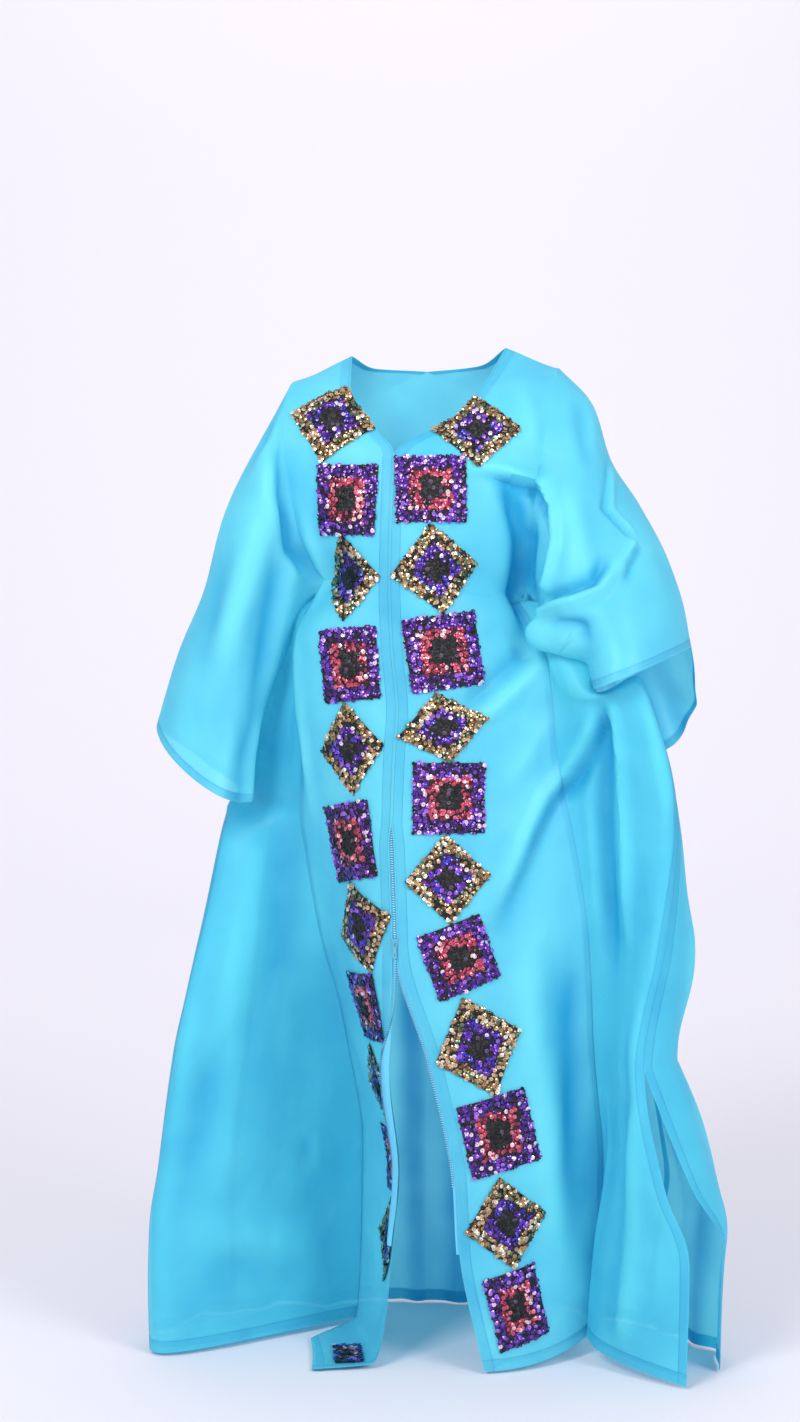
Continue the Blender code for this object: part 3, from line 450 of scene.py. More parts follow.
# A fold: where it is laid, its half width and its height in millimetres (negative for a trough),
# how much of a trough it has beside it (on the right of its line where negative), the shares of
# its length where it rises and dies away, and its line, in runs of (piece, then section and
# share, or ring and turn, of each point).
FOLDS = {
    RIGHT: (
        ("side", 54, 26, 0, 0.12, 0.3, ("gore", 5.05, 1, 6.2, 1, 7.6, 1, 8.6, 1)),
        ("sleeve", 14, -12, -0.5, 0.3, 0.2, ("sleeve", 0.1, 0.4, 0.35, 0.55, 0.4, 0.72, 0.2, 0.9)),
        ("fore", 14, 8, -0.4, 0.4, 0.3, ("front", 3.2, 0.97, 3.9, 0.92, 4.7, 0.92, 5.6, 0.95)),
        ("sleeve", 22, 9, 0.6, 0.4, 0.4, ("sleeve", 0.3, 0.4, 1.19, 0.485, 2.4, 0.5, 3.67, 0.495)),
        ("sleeve", 18, -10, 0.4, 0.4, 0.5,
         ("sleeve", 0.5, 0.62, 1.35, 0.72, 2.77, 0.8, 3.9, 0.83)),
        ("sleeve", 12, -5, 0.5, 0.4, 0.5, ("sleeve", 0.3, 0.16, 0.9, 0.22, 1.5, 0.21)),
        ("sleeve", 24, -6, 0.4, 0.4, 0.5, ("sleeve", 1.6, 0.27, 2.79, 0.3, 4.17, 0.33)),
        ("sleeve", 14, 7, -0.6, 0.5, 0, ("sleeve", 2.6, 0.92, 3.8, 0.86, 4.9, 0.87)),
        ("sleeve", 16, 4, 0.5, 0.6, 0, ("sleeve", 3.1, 0.6, 4.1, 0.63, 4.95, 0.62)),
        ("fore", 14, 8, -0.5, 0.2, 0.4, ("front", 5.5, 0.95, 6.58, 0.9, 8.28, 0.89, 10.23, 0.84)),
        ("front", 22, -3, 0, 0.5, 0.5, ("front", 8.97, 0.569, 10.68, 0.419, 11.5, 0.32)),
        ("front", 12, -2, 0.3, 0.4, 0.6, ("front", 3.1, 0.1, 3.95, 0.17, 5.25, 0.12)),
        ("front", 16, 4, 0.5, 0.4, 0.5, ("front", 0.9, 0.1, 1.7, 0.55, 2.6, 0.9)),
        ("gore", 34, -8, 0.3, 0.4, 0.5, ("gore", 8.9, 0.1, 10.73, 0.263, 11.9, 0.256)),
        ("gore", 36, 9, 0.3, 0.5, 0.5, ("gore", 9.8, 0.36, 11.23, 0.519, 12.6, 0.531)),
        ("gore", 28, -6, 0.4, 0.5, 0.5, ("gore", 11.57, 0.531, 12.45, 0.619, 13.9, 0.669)),
        ("gore", 10, -5, 0.6, 0.5, 0.5, ("gore", 12.8, 0.256, 13.03, 0.219, 13.5, 0.256)),
        ("gore", 30, 7, -0.5, 0.4, 0.4, ("gore", 14.12, 0.75, 14.1, 0.425, 14.35, 0.15)),
        ("gore", 22, 6, 0.5, 0.3, 0.6, ("gore", 7.2, 0.55, 9.5, 0.82, 12, 0.9)),
        ("rear", 22, -13, 0.5, 0.4, 0, ("back", 1.2, 0.4, 3.5, 0.46, 7, 0.52, 11, 0.5, 15, 0.47)),
        ("rear", 20, 12, -0.6, 0.5, 0, ("back", 2.5, 0.7, 6, 0.74, 10, 0.77, 15, 0.73)),
        ("rear", 24, 16, 0.5, 0.4, 0, ("back", 4, 0.14, 8, 0.22, 12, 0.27, 15, 0.26)),
        ("rear", 20, -13, 0.6, 0.5, 0, ("back", 7, 0.93, 11, 0.92, 15, 0.96)),
        ("rear", 18, 8, -0.6, 0.3, 0.6, ("back", 3.3, 0.06, 5.2, 0.3, 7.4, 0.58)),
        ("rear", 26, -18, 0.4, 0.5, 0, ("gore_behind", 8, 0.35, 12, 0.38, 15, 0.33)),
        ("rear", 22, 14, -0.5, 0.5, 0, ("gore_behind", 7, 0.75, 11, 0.72, 15, 0.76)),
        ("sleeve", 22, -10, 0.5, 0.4, 0, ("sleeve", 0.4, -0.5, 2.4, -0.56, 4.9, -0.5)),
        ("sleeve", 18, 7, -0.5, 0.5, 0, ("sleeve", 1, -0.25, 3.1, -0.31, 4.9, -0.26)),
    ),
    LEFT: (
        ("fore", 9, 16, -0.9, 0.35, 0.1,
         ("front", 3, 0.42, 2.85, 0.619, 2.83, 0.781),
         ("sleeve", 0.2, 0.515, 1, 0.555, 1.5, 0.61, 1.75, 0.705, 2.08, 0.845)),
        ("sleeve", 30, 30, 0, 0.2, 0.3, ("sleeve", 2.2, 0.93, 3.2, 0.97, 4.2, 0.985, 5.3, 0.985)),
        ("side", 42, 32, 0, 0.15, 0.3, ("gore", 5.05, 1, 6.2, 1, 7.6, 1)),
        ("sleeve", 10, 15, 1, 0.1, 0.3,
         ("sleeve", 2.25, 0.865, 2.65, 0.735, 3.05, 0.67, 3.5, 0.56, 3.4, 0.47, 3.18, 0.385)),
        ("sleeve", 12, -12, -0.5, 0.3, 0.3,
         ("sleeve", 2.6, 0.93, 3.3, 0.82, 4.1, 0.79, 4.8, 0.86)),
        ("sleeve", 6, -7, 0.7, 0.3, 0.1, ("sleeve", 1.78, 0.09, 2.38, 0.325, 3.33, 0.285)),
        ("sleeve", 7, 8, 0.8, 0.1, 0.4, ("sleeve", 3.33, 0.285, 3.43, 0.4, 3.75, 0.495)),
        ("sleeve", 20, 8, 0.4, 0.4, 0.3, ("sleeve", 0.7, 0.44, 2, 0.52, 2.9, 0.6)),
        ("sleeve", 14, -5, 0.5, 0.4, 0.5, ("sleeve", 0.5, 0.1, 1, 0.26, 1.7, 0.33)),
        ("fore", 15, -24, 0, 0.2, 0.4,
         ("front", 2.98, 0.7, 3.2, 0.86, 3.6, 0.95, 4.3, 0.96, 5.2, 0.95, 6.3, 0.96)),
        ("fore", 16, 11, 0.9, 0.3, 0.2,
         ("front", 7.55, 0.45, 7.03, 0.65, 6.4, 0.95), ("gore", 6.1, 0.1)),
        ("fore", 18, 6, -0.3, 0.4, 0.3, ("front", 8.97, 0.606, 7.83, 0.9), ("gore", 7.2, 0.1)),
        ("fore", 13, 12, -1, 0.4, 0.15,
         ("front", 10.9, 0.45, 10, 0.756, 8.85, 0.894),
         ("gore", 8.5, 0.05, 8.15, 0.275, 7.62, 0.556)),
        ("gore", 13, -12, 0, 0.1, 0.4,
         ("gore", 7.3, 0.75, 8.62, 0.35, 9.8, 0.263, 10.65, 0.231, 11.6, 0.3)),
        ("gore", 9, 10, 0, 0.1, 0.4,
         ("gore", 7.4, 0.88, 8.7, 0.455, 9.82, 0.399, 10.65, 0.411, 11.4, 0.52)),
        ("gore", 12, 6, 0.5, 0.2, 0.5,
         ("gore", 8.18, 0.838, 8.82, 0.8, 9.57, 0.788, 10.35, 0.825)),
        ("gore", 10, 5, 0.5, 0.3, 0.5, ("gore", 8.28, 0.3, 9.23, 0.16, 10.53, 0.12, 11.6, 0.125)),
        ("front", 24, -5, 0.4, 0.4, 0.4, ("front", 11.12, 0.388, 10.65, 0.644, 10.28, 0.819)),
        ("front", 30, 9, 0.6, 0.3, 0.3,
         ("front", 10.6, 0.76, 11.4, 0.663, 12.6, 0.619, 14.6, 0.625)),
        ("front", 18, -8, 0.4, 0.3, 0.4, ("front", 11, 0.93, 12.2, 0.86, 13.6, 0.72)),
        ("gore", 12, -8, 0.6, 0.3, 0, ("gore", 12.4, 0.05, 13.5, 0.04, 15, 0.07)),
        ("gore", 18, 9, -0.5, 0.4, 0.1, ("gore", 12, 0.9, 13.2, 0.663, 14.9, 0.581)),
        ("gore", 14, -6, 0.4, 0.4, 0.4, ("gore", 11.3, 0.62, 12.25, 0.76, 13.28, 0.5)),
        ("front", 16, 4, 0.5, 0.4, 0.4, ("front", 0.7, 0.3, 1.85, 0.8, 2.6, 0.97)),
        ("rear", 20, 12, 0.6, 0.5, 0, ("back", 1, 0.32, 3.5, 0.42, 7, 0.56, 11, 0.58, 15, 0.52)),
        ("rear", 24, -14, -0.4, 0.4, 0, ("back", 2.2, 0.62, 5, 0.72, 9, 0.8, 15, 0.84)),
        ("rear", 26, -15, 0.5, 0.4, 0, ("back", 5, 0.12, 9, 0.3, 12, 0.32, 15, 0.24)),
        ("rear", 16, 7, 0.6, 0.3, 0.6, ("back", 2.8, 0.1, 4.6, 0.38, 6, 0.66)),
        ("rear", 24, 15, 0.6, 0.4, 0, ("gore_behind", 8.6, 0.55, 11, 0.42, 15, 0.38)),
        ("rear", 20, -12, 0.4, 0.5, 0, ("gore_behind", 9.5, 0.9, 12, 0.8, 15, 0.82)),
        ("sleeve", 22, -10, 0.5, 0.4, 0, ("sleeve", 0.4, -0.52, 3, -0.5, 5.9, -0.56)),
        ("sleeve", 16, 9, -0.6, 0.4, 0, ("sleeve", 1.4, -0.78, 3.4, -0.74, 5.9, -0.8)),
        ("sleeve", 18, 7, 0.5, 0.5, 0, ("sleeve", 1.2, -0.2, 3.6, -0.27, 5.9, -0.24)),
    ),
}


def line_of(side, runs):
    """Points of a fold's line, which may run over several pieces."""
    return np.concatenate([
        FORMS[piece](side, np.array(spots[::2], float), np.array(spots[1::2], float))
        for piece, *spots in runs
    ])


def lay_fold(cloth, line, half_width, height, lean, rise, fall):
    """Moves a cloth's points in or out beside a line."""
    runs = np.linalg.norm(np.diff(line, axis=0), axis=1)
    starts = np.concatenate(([0], np.cumsum(runs)))
    flat, out = cloth.points.reshape(-1, 3), cloth.out.reshape(-1, 3)
    best = np.full(len(flat), 1e9)
    offset, place = np.zeros(len(flat)), np.zeros(len(flat))
    for a, b, run, start in zip(line, line[1:], runs, starts):
        along = (b - a) / run
        t = np.clip((flat - a) @ along, 0, run)
        gap = flat - a - t[:, None] * along
        distance = np.linalg.norm(gap, axis=1)
        near = distance < best
        best[near] = distance[near]
        sided = np.sign(np.einsum("ij,ij->i", np.cross(along, gap), out))
        offset[near] = (sided * distance)[near]
        place[near] = ((start + t) / starts[-1])[near]
    grow = np.clip(place / max(rise, 1e-3), 0, 1) if rise else np.ones_like(place)
    fade = np.clip((1 - place) / max(fall, 1e-3), 0, 1) if fall else np.ones_like(place)
    strength = grow * grow * (3 - 2 * grow) * fade * fade * (3 - 2 * fade)
    shape = np.exp(-((offset / half_width) ** 2))
    beside = offset - math.copysign(1.5 * half_width, lean)
    shape -= abs(lean) * np.exp(-((beside / half_width) ** 2))
    return (height * strength * shape).reshape(cloth.points.shape[:2])


def ripple(points):
    """The slight, uneven rise and fall of crisp cloth, in metres."""
    waves = (
        (31, 7, 12, 0.3, 0.9), (-17, 11, 19, 1.7, 0.8), (9, -23, 8, 4.1, 0.7),
        (44, 15, -21, 2.2, 0.45), (-38, 30, 27, 5.3, 0.35), (60, -41, 13, 0.9, 0.22),
    )
    total = np.zeros(points.shape[:-1])
    for x, y, z, phase, height in waves:
        total += height * np.sin(points @ np.array((x, y, z)) + phase)
    return total * 0.001


pin_together()
SLIDER_PLACE = Vector((-0.0432, -0.1861, -0.853))
STILL_REACH, STILL_CORE = 0.09, 0.3  # the cloth lies still near the slider
for (piece, side), cloth in cloths.items():
    rise = ripple(cloth.points)
    for where, half_width, height, lean, start, end, *runs in FOLDS[side]:
        if piece in LAID_IN[where]:
            size = half_width / 1000, height / 1000
            rise += lay_fold(cloth, line_of(side, runs), *size, lean, start, end)
    still = np.linalg.norm(cloth.points - np.array(SLIDER_PLACE), axis=-1)
    cloth.rise = rise * np.clip(still / STILL_REACH - STILL_CORE, 0, 1)
for _ in range(3):
    for one, see_one, other, see_other in seams():
        a, b = see_one(one.rise), see_other(other.rise)
        mean = (a[0] + b[0]) / 2
        for edge in (a, b):
            edge += easing(len(edge), SEAM_EASE) * (mean - edge[0])
for cloth in cloths.values():
    cloth.points = cloth.points + cloth.out * cloth.rise[..., None]
    cloth.face_out()
pin_together()


def turned(edge, grid):
    """A grid turned so that its last row is the edge asked for."""
    if edge in ("first", "last"):
        grid = grid.swapaxes(0, 1)
    return grid[::-1] if edge in ("first", "top") else grid


def layer(cloth):
    """A cloth's own layer: points, fabric side, and the metres across and down it, its rise in a
    fold and the metres past a band where it lies double."""
    points = cloth.points
    across = np.linalg.norm(np.diff(points, axis=1), axis=-1)
    down = np.linalg.norm(np.diff(points, axis=0), axis=-1)
    u = np.concatenate((np.zeros((len(points), 1)), np.cumsum(across, axis=1)), axis=1)
    v = np.concatenate(([0], np.cumsum(down.mean(axis=1))))[:, None] + np.zeros_like(u)
    return points, cloth.out, np.stack((u, v, cloth.rise, cloth.beyond), -1)


def behind_edge(cloth, edge, rows):
    """A cloth's layer, turned to an edge, and how far each point lies behind that edge."""
    grids = [turned(edge, grid[rows]) for grid in layer(cloth)]
    steps = np.linalg.norm(np.diff(grids[0], axis=0), axis=-1)
    back = np.concatenate((np.cumsum(steps[::-1], axis=0)[::-1], np.zeros((1, steps.shape[1]))))
    return *grids, back


def read_behind(grid, back, way):
    """A grid's values along a line that runs at a distance behind the edge."""
    return np.array([
        [np.interp(way, back[::-1, c], grid[::-1, c, k]) for k in range(grid.shape[2])]
        for c in range(grid.shape[1])
    ])


FOLD_CLEAR = 0.0004  # how far a hem's fold stands past the edge
TUCKED = 0.004  # the cloth that is turned in is shaded as if it lay this much lower


def edge_strip(cloth, edge, width, depth, rows=slice(None), wrap=True):
    """A strip of cloth behind an edge: the hem turned in round it, or with wrap off a seam's
    allowance, cut from the piece's own cloth at a depth behind it. It marks the cloth as double
    there, so a piece's strips are made before its layer is."""
    points, out, weave, back = behind_edge(cloth, edge, rows)
    doubled = turned(edge, cloth.beyond[rows])
    np.minimum(doubled, back - width, out=doubled)
    ways = np.array((0.0, 0.2, 0.45, 0.7, 1.0)) * width
    if not wrap:
        ways = ways + FOLD_CLEAR
    strip, facing, threads = [], [], []
    for way in ways:
        place, side, thread = (read_behind(grid, back, way) for grid in (points, out, weave))
        strip.append(place - side * depth)
        facing.append(-side)
        threads.append(np.where(
            (True, True, False, False), 2 * weave[-1] - thread, thread - (0, 0, TUCKED, 0)
        ))
    if wrap:
        beyond = points[-1] - points[-2]
        beyond = beyond / np.linalg.norm(beyond, axis=-1)[..., None]
        strip = [points[-1], points[-1] + beyond * FOLD_CLEAR - out[-1] * depth / 2] + strip
        facing = [out[-1], beyond] + facing
        threads = [weave[-1], weave[-1]] + threads
    return np.stack(strip), np.stack(facing), np.stack(threads)


# Painted light and shade: a fold's rise tints the organza, deeper in its troughs and paler on its
# ridges.
FLAT_PAINTED_SHADE, FULL_PAINTED_SHADE = 0.62, 0.02  # how pale flat cloth is, and the rise that would add one
SHARP = math.radians(60)  # edges that turn more are drawn sharp


def new_object(name, data):
    built = bpy.data.objects.new(name, data)
    bpy.context.scene.collection.objects.link(built)
    return built


def store(mesh, name, values, kind="FLOAT", key="value"):
    """Keeps a value at each point of a mesh."""
    kept = mesh.attributes.new(name, kind, "POINT")
    kept.data.foreach_set(key, values.astype(np.float32).ravel())


def make_cloth(name, layers, thick, finish):
    """One mesh of thin cloth from grids that are welded where they share points: the right
    side, the wrong side a little behind it, and the cut edges between."""
    points = np.concatenate([grid[0].reshape(-1, 3) for grid in layers])
    facing = np.concatenate([grid[1].reshape(-1, 3) for grid in layers])
    weave = np.concatenate([grid[2].reshape(-1, 4) for grid in layers])
    _, first, weld = np.unique(np.round(points, 5), axis=0, return_index=True, return_inverse=True)
    weld = weld.reshape(-1)
    quads, start = [], 0
    for grid, side, _ in layers:
        rows, columns = grid.shape[:2]
        index = weld[start : start + rows * columns].reshape(rows, columns)
        start += rows * columns
        quad = np.stack((index[:-1, :-1], index[1:, :-1], index[1:, 1:], index[:-1, 1:]), -1)
        normal = np.cross(grid[1:, 1:] - grid[:-1, :-1], grid[:-1, 1:] - grid[1:, :-1])
        if np.sum(normal * side[:-1, :-1]) < 0:
            quad = quad[..., ::-1]
        quads.append(quad.reshape(-1, 4))
    quads = np.concatenate(quads)
    edges = np.stack((quads, np.roll(quads, -1, axis=1)), -1).reshape(-1, 2)
    edges = edges[edges[:, 0] != edges[:, 1]]
    _, at, times = np.unique(np.sort(edges, axis=1), axis=0, return_index=True, return_counts=True)
    rim = edges[at[times == 1]]
    count = len(first)
    outer, way = points[first], facing[first]
    spots = np.concatenate((outer, outer - way * thick))
    faces = [quad.tolist() for quad in quads]
    faces += [[k + count for k in reversed(quad)] for quad in quads.tolist()]
    faces += [[b, a, a + count, b + count] for a, b in rim.tolist()]
    faces = [list(dict.fromkeys(face)) for face in faces]
    mesh = bpy.data.meshes.new(name)
    mesh.from_pydata(spots.tolist(), [], [face for face in faces if len(face) > 2])
    laid = np.concatenate((weave[first], weave[first]))
    # Painted shade and light of the folds, kept as the fold attribute.
    store(mesh, "fold", np.clip(FLAT_PAINTED_SHADE + laid[:, 2] / FULL_PAINTED_SHADE, 0, 1))
    store(mesh, "beyond", laid[:, 3])
    corner = np.empty(len(mesh.loops), int)
    mesh.loops.foreach_get("vertex_index", corner)
    uv = mesh.uv_layers.new(name="weave")
    uv.data.foreach_set("uv", laid[corner, :2].astype(np.float32).ravel())
    mesh.materials.append(finish)
    mesh.shade_smooth()
    mesh.set_sharp_from_angle(angle=SHARP)
    return new_object(name, mesh)


# ------------------------------------------------------------------------------ the organza
# A crisp, fine, half-sheer cloth of smooth filament yarn, dyed turquoise. One layer lets light
# and what is behind it through, and two layers, as at a hem, look deeper.
CLOTH_THICK = 0.0003


class Nodes:
    """A shader or geometry tree being wired."""

    def __init__(self, tree):
        self.tree = tree

    def add(self, kind, settings=(), **inputs):
        node = self.tree.nodes.new(kind)
        for key, value in dict(settings).items():
            setattr(node, key, value)
        for key, value in inputs.items():
            key = key.replace("_", " ")
            socket = node.inputs[int(key[1:])] if key[1:].isdigit() else node.inputs[key]
            if isinstance(value, bpy.types.NodeSocket):
                self.tree.links.new(value, socket)
            else:
                socket.default_value = value
        return node

    def take(self, kind, settings=(), **inputs):
        return self.add(kind, settings, **inputs).outputs[0]

    def math(self, operation, a, b):
        return self.add("ShaderNodeMath", {"operation": operation}, _0=a, _1=b).outputs[0]

    def remap(self, value, **bounds):
        return self.add("ShaderNodeMapRange", Value=value, **bounds).outputs[0]

    def attribute(self, name):
        return self.add("ShaderNodeAttribute", {"attribute_name": name}).outputs["Fac"]

    def weave(self):
        return self.add("ShaderNodeUVMap", {"uv_map": "weave"}).outputs[0]

    def place(self):
        return self.add("ShaderNodeTexCoord").outputs["Object"]

    def noise(self, vector, scale, detail):
        return self.add(
            "ShaderNodeTexNoise", Vector=vector, Scale=scale, Detail=detail
        ).outputs["Fac"]

    def bump(self, height, strength, distance, **under):
        return self.add(
            "ShaderNodeBump", Height=height, Strength=strength, Distance=distance, **under
        ).outputs[0]

    def blend(self, factor, low, high):
        mix = self.add("ShaderNodeMix", {"data_type": "RGBA"}, Factor=factor)
        mix.inputs[6].default_value, mix.inputs[7].default_value = (*low, 1), (*high, 1)
        return mix.outputs[2]

    def skin(self, colour, bump, roughness, **more):
        return self.add(
            "ShaderNodeBsdfPrincipled", Base_Color=colour, Normal=bump, Roughness=roughness, **more
        ).outputs[0]

    def surface(self, shader):
        self.add("ShaderNodeOutputMaterial", Surface=shader)


def new_finish(name):
    finish = bpy.data.materials.new(name)
    finish.use_nodes = True
    finish.node_tree.nodes.clear()
    return finish, Nodes(finish.node_tree)


def organza(name, deep, pale, cover):
    """deep is its colour where it lies double, and the painted shade in the troughs of its folds;
    pale is the painted light on their ridges, and single, taut cloth lies nearer to it; cover is
    how much one of its two faces hides."""
    finish, tree = new_finish(name)
    threads = tree.take("ShaderNodeMapping", Vector=tree.weave(), Scale=(900.0, 26.0, 1.0))
    threads = tree.noise(threads, 1.0, 1.0)
    crinkle = tree.noise(tree.place(), 16.0, 2.0)
    mottled = tree.remap(crinkle, From_Min=0.3, From_Max=0.7, To_Min=-0.10, To_Max=0.10)
    double = tree.remap(
        tree.attribute("beyond"), From_Min=0.0004, From_Max=-0.0004, To_Min=0.0, To_Max=0.17
    )
    # Painted light and shade: the fold attribute makes troughs deeper and ridges paler; mottled
    # adds the same noise as the crinkle bump, and double deepens cloth that lies double.
    height = tree.math("ADD", tree.attribute("fold"), mottled)
    height = tree.math("SUBTRACT", height, double)
    tint = tree.blend(height, deep, pale)
    bump = tree.bump(threads, 0.25, 0.0003, Normal=tree.bump(crinkle, 0.5, 0.008))
    skin = tree.skin(tint, bump, 0.42, Specular_IOR_Level=0.4)
    glow = tree.take("ShaderNodeBsdfTranslucent", Color=tint)
    body = tree.take("ShaderNodeMixShader", Fac=0.30, _1=skin, _2=glow)
    clear = tree.take("ShaderNodeBsdfTransparent", Color=(0.66, 0.95, 1.0, 1))
    hidden = tree.remap(height, To_Min=cover + 0.16, To_Max=cover - 0.06)
    tree.surface(tree.take("ShaderNodeMixShader", Fac=hidden, _1=clear, _2=body))
    return finish


ORGANZA = organza("turquoise organza", (0.045, 0.53, 0.80), (0.30, 0.95, 1.00), 0.62)
GORE_ORGANZA = organza("turquoise organza, gores", (0.04, 0.52, 0.79), (0.22, 0.91, 0.99), 0.58)

# ----------------------------------------------------------------------- fronts, gores and back
# Each panel is hemmed and its front edges are faced before the zip goes in. Seam allowances
# stay inside, pressed to one side and overlocked.
HEM_WIDTH, FACING_WIDTH, SLIT_HEM, SEAM_ALLOWANCE = 0.018, 0.016, 0.014, 0.010
UPPER, SLIT = UNDERARM * ROWS, (SLIT_TOP - UNDERARM) * ROWS
HEM_DEPTH, EDGE_DEPTH = 0.0017, 0.0008
made = {}


def sew(key, name, finish, *parts):
    """Makes one piece of cloths, each with its edges: strips as edge_strip takes them."""
    layers = []
    for cloth, *strips in parts:
        layers += [edge_strip(cloth, *strip) for strip in strips] + [layer(cloth)]
    made[key] = make_cloth(name, layers, CLOTH_THICK, finish)


for side in (RIGHT, LEFT):
    name = SIDES[side]
    hem, joined, rest = ("bottom", HEM_WIDTH, HEM_DEPTH), slice(1, SLIT + 1), slice(SLIT, None)
    sew(("front", side), f"front_panel_{name}", ORGANZA, (
        cloths["front", side], ("first", FACING_WIDTH, EDGE_DEPTH), hem,
        ("last", SEAM_ALLOWANCE, EDGE_DEPTH, slice(UPPER + 1, None), False),
    ))
    sew(("gore", side), f"front_gore_{name}", GORE_ORGANZA, (
        cloths["gore", side], hem, ("last", SLIT_HEM, EDGE_DEPTH, rest),
        ("last", SLIT_HEM, EDGE_DEPTH, joined, False),
    ))
    sew(("gore_behind", side), f"back_gore_{name}", GORE_ORGANZA, (
        cloths["gore_behind", side], hem, ("first", SLIT_HEM, EDGE_DEPTH, rest),
        ("first", SLIT_HEM, EDGE_DEPTH, joined, False),
        ("last", SEAM_ALLOWANCE, EDGE_DEPTH, slice(1, None), False),
    ))
sew("back", "back_panel", ORGANZA, *(
    (cloths["back", side], hem, ("last", SEAM_ALLOWANCE, EDGE_DEPTH, slice(0, OPEN_ROWS + 1)))
    for side in (RIGHT, LEFT)
))

# ---------------------------------------------------------------------------------- sleeves
# The tubes are hemmed at the cuff with a narrow turned hem and topstitched.
CUFF_HEM = 0.013
for side in (RIGHT, LEFT):
    sew(("sleeve", side), f"wide_sleeve_{SIDES[side]}", ORGANZA, (
        cloths["sleeve", side], ("bottom", CUFF_HEM, EDGE_DEPTH),
    ))

# The cut of each piece: its width and length in metres, and its area.
FRONT_CUT, GORE_CUT = ((0.30, 1.66), 0.39), ((0.40, 1.32), 0.27)
BACK_CUT, SLEEVE_CUT = ((0.78, 1.64), 0.92), ((0.84, 0.55), 0.27)
for key, (node, slot, (flat, area)) in {
    ("front", RIGHT): ("front_right", "organza", FRONT_CUT),
    ("front", LEFT): ("front_left", "organza", FRONT_CUT),
    ("gore", RIGHT): ("gore_right_front", "gore_organza", GORE_CUT),
    ("gore", LEFT): ("gore_left_front", "gore_organza", GORE_CUT),
    ("gore_behind", RIGHT): ("gore_right_back", "gore_organza", GORE_CUT),
    ("gore_behind", LEFT): ("gore_left_back", "gore_organza", GORE_CUT),
    "back": ("back", "organza", BACK_CUT),
    ("sleeve", RIGHT): ("sleeve_right", "organza", SLEEVE_CUT),
    ("sleeve", LEFT): ("sleeve_left", "organza", SLEEVE_CUT),
}.items():
    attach(made[key], "robe")
    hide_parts(node)

# -------------------------------------------------------------------------------- patches
# Squares of black net covered with overlapping plastic sequins, in rings about a black middle.
# They are sewn down each front, one square on and one corner down in turn.
PATCH_UPRIGHT, PATCH_TURNED = 0.100, 0.091
NET_CELLS, NET_LIFT, NET_THICK = 20, 0.0022, 0.0006
STEP = 1e-3  # for slopes, in sections and shares
LEVEL_STEPS, SHARE_STEPS = 400, 80  # how finely a place is looked up
LEFT_SEEDS = 20  # the left column's seeds follow on from here
# columns: height of the section line that the patch's middle is on, its distance along that
# line from the front edge, its tilt in degrees, clockwise for the one who looks, and how much
# of its own width and height it is drawn to by the cloth, because net gives.
PATCHES = {
    RIGHT: (
        (-0.1087, 0.0548, 8, 1.0, 1.0), (-0.1988, 0.0695, 16, 0.9, 1.0),
        (-0.3333, 0.0670, -6, 0.8, 0.98), (-0.4576, 0.0650, -6, 0.86, 1.04),
        (-0.5786, 0.0700, -6, 0.85, 1.04), (-0.7128, 0.0727, -11, 0.92, 1.1),
        (-0.8350, 0.0600, -20, 0.95, 1.06), (-0.9540, 0.0655, -4, 0.86, 1.0),
        (-1.0780, 0.0670, -1, 0.9, 1.06), (-1.1950, 0.0650, 3, 1.0, 1.0),
        (-1.3150, 0.0680, 0, 1.0, 1.0), (-1.4805, 0.0620, 0, 0.9, 0.42),
    ),
    LEFT: (
        (-0.1100, 0.0480, -14, 1.0, 0.94), (-0.1877, 0.0578, -17, 1.0, 0.95),
        (-0.3053, 0.0685, -21, 1.0, 1.02), (-0.4386, 0.0747, -8, 1.06, 1.05),
        (-0.5479, 0.0677, -9, 1.02, 0.78), (-0.6471, 0.0818, 1, 1.05, 1.0),
        (-0.7621, 0.0757, -3, 0.97, 1.0), (-0.8759, 0.0880, -20, 0.97, 0.98),
        (-1.0060, 0.0760, -19, 1.03, 1.2), (-1.1346, 0.0745, -12, 1.05, 1.08),
        (-1.2661, 0.0725, -9, 0.96, 1.08), (-1.3932, 0.0710, -12, 0.8, 1.1),
    ),
}


def level_at(side, z):
    """The level whose line crosses the front edge at a height."""
    levels = np.linspace(0, len(FRONT_PANEL[side]) - 1, LEVEL_STEPS)
    return np.interp(-z, -read_table(FRONT_PANEL[side], levels)[:, 2], levels)


def share_at(side, level, run):
    """The share at a distance along a level's line from the front edge."""
    share = np.linspace(0, 1, SHARE_STEPS)
    line = front_panel(side, np.full_like(share, level), share)
    runs = np.concatenate(([0], np.cumsum(np.linalg.norm(np.diff(line, axis=0), axis=1))))
    return np.interp(run, runs, share)


def slopes_at(side, place):
    """Points of a front panel at places (level, share), and how they move with each."""
    level, share = place[:, 0], place[:, 1]
    spot = front_panel(side, level, share)
    down = (front_panel(side, level + STEP, share) - spot) / STEP
    across = (front_panel(side, level, share + STEP) - spot) / STEP
    return spot, down, across


def on_cloth(cloth, place):
    """Points of the laid cloth at places, with the way out there."""
    row = np.clip(place[:, 0] * ROWS, 0, len(cloth.points) - 1.001)
    column = np.interp(place[:, 1], PANEL_SHARES, range(len(PANEL_SHARES)))
    column = np.clip(column, 0, len(PANEL_SHARES) - 1.001)
    r, c = row.astype(int), column.astype(int)
    u, v = (row - r)[:, None], (column - c)[:, None]
    found = []
    for grid in (cloth.points, cloth.out):
        upper = grid[r, c] * (1 - v) + grid[r, c + 1] * v
        lower = grid[r + 1, c] * (1 - v) + grid[r + 1, c + 1] * v
        found.append(upper * (1 - u) + lower * u)
    return found


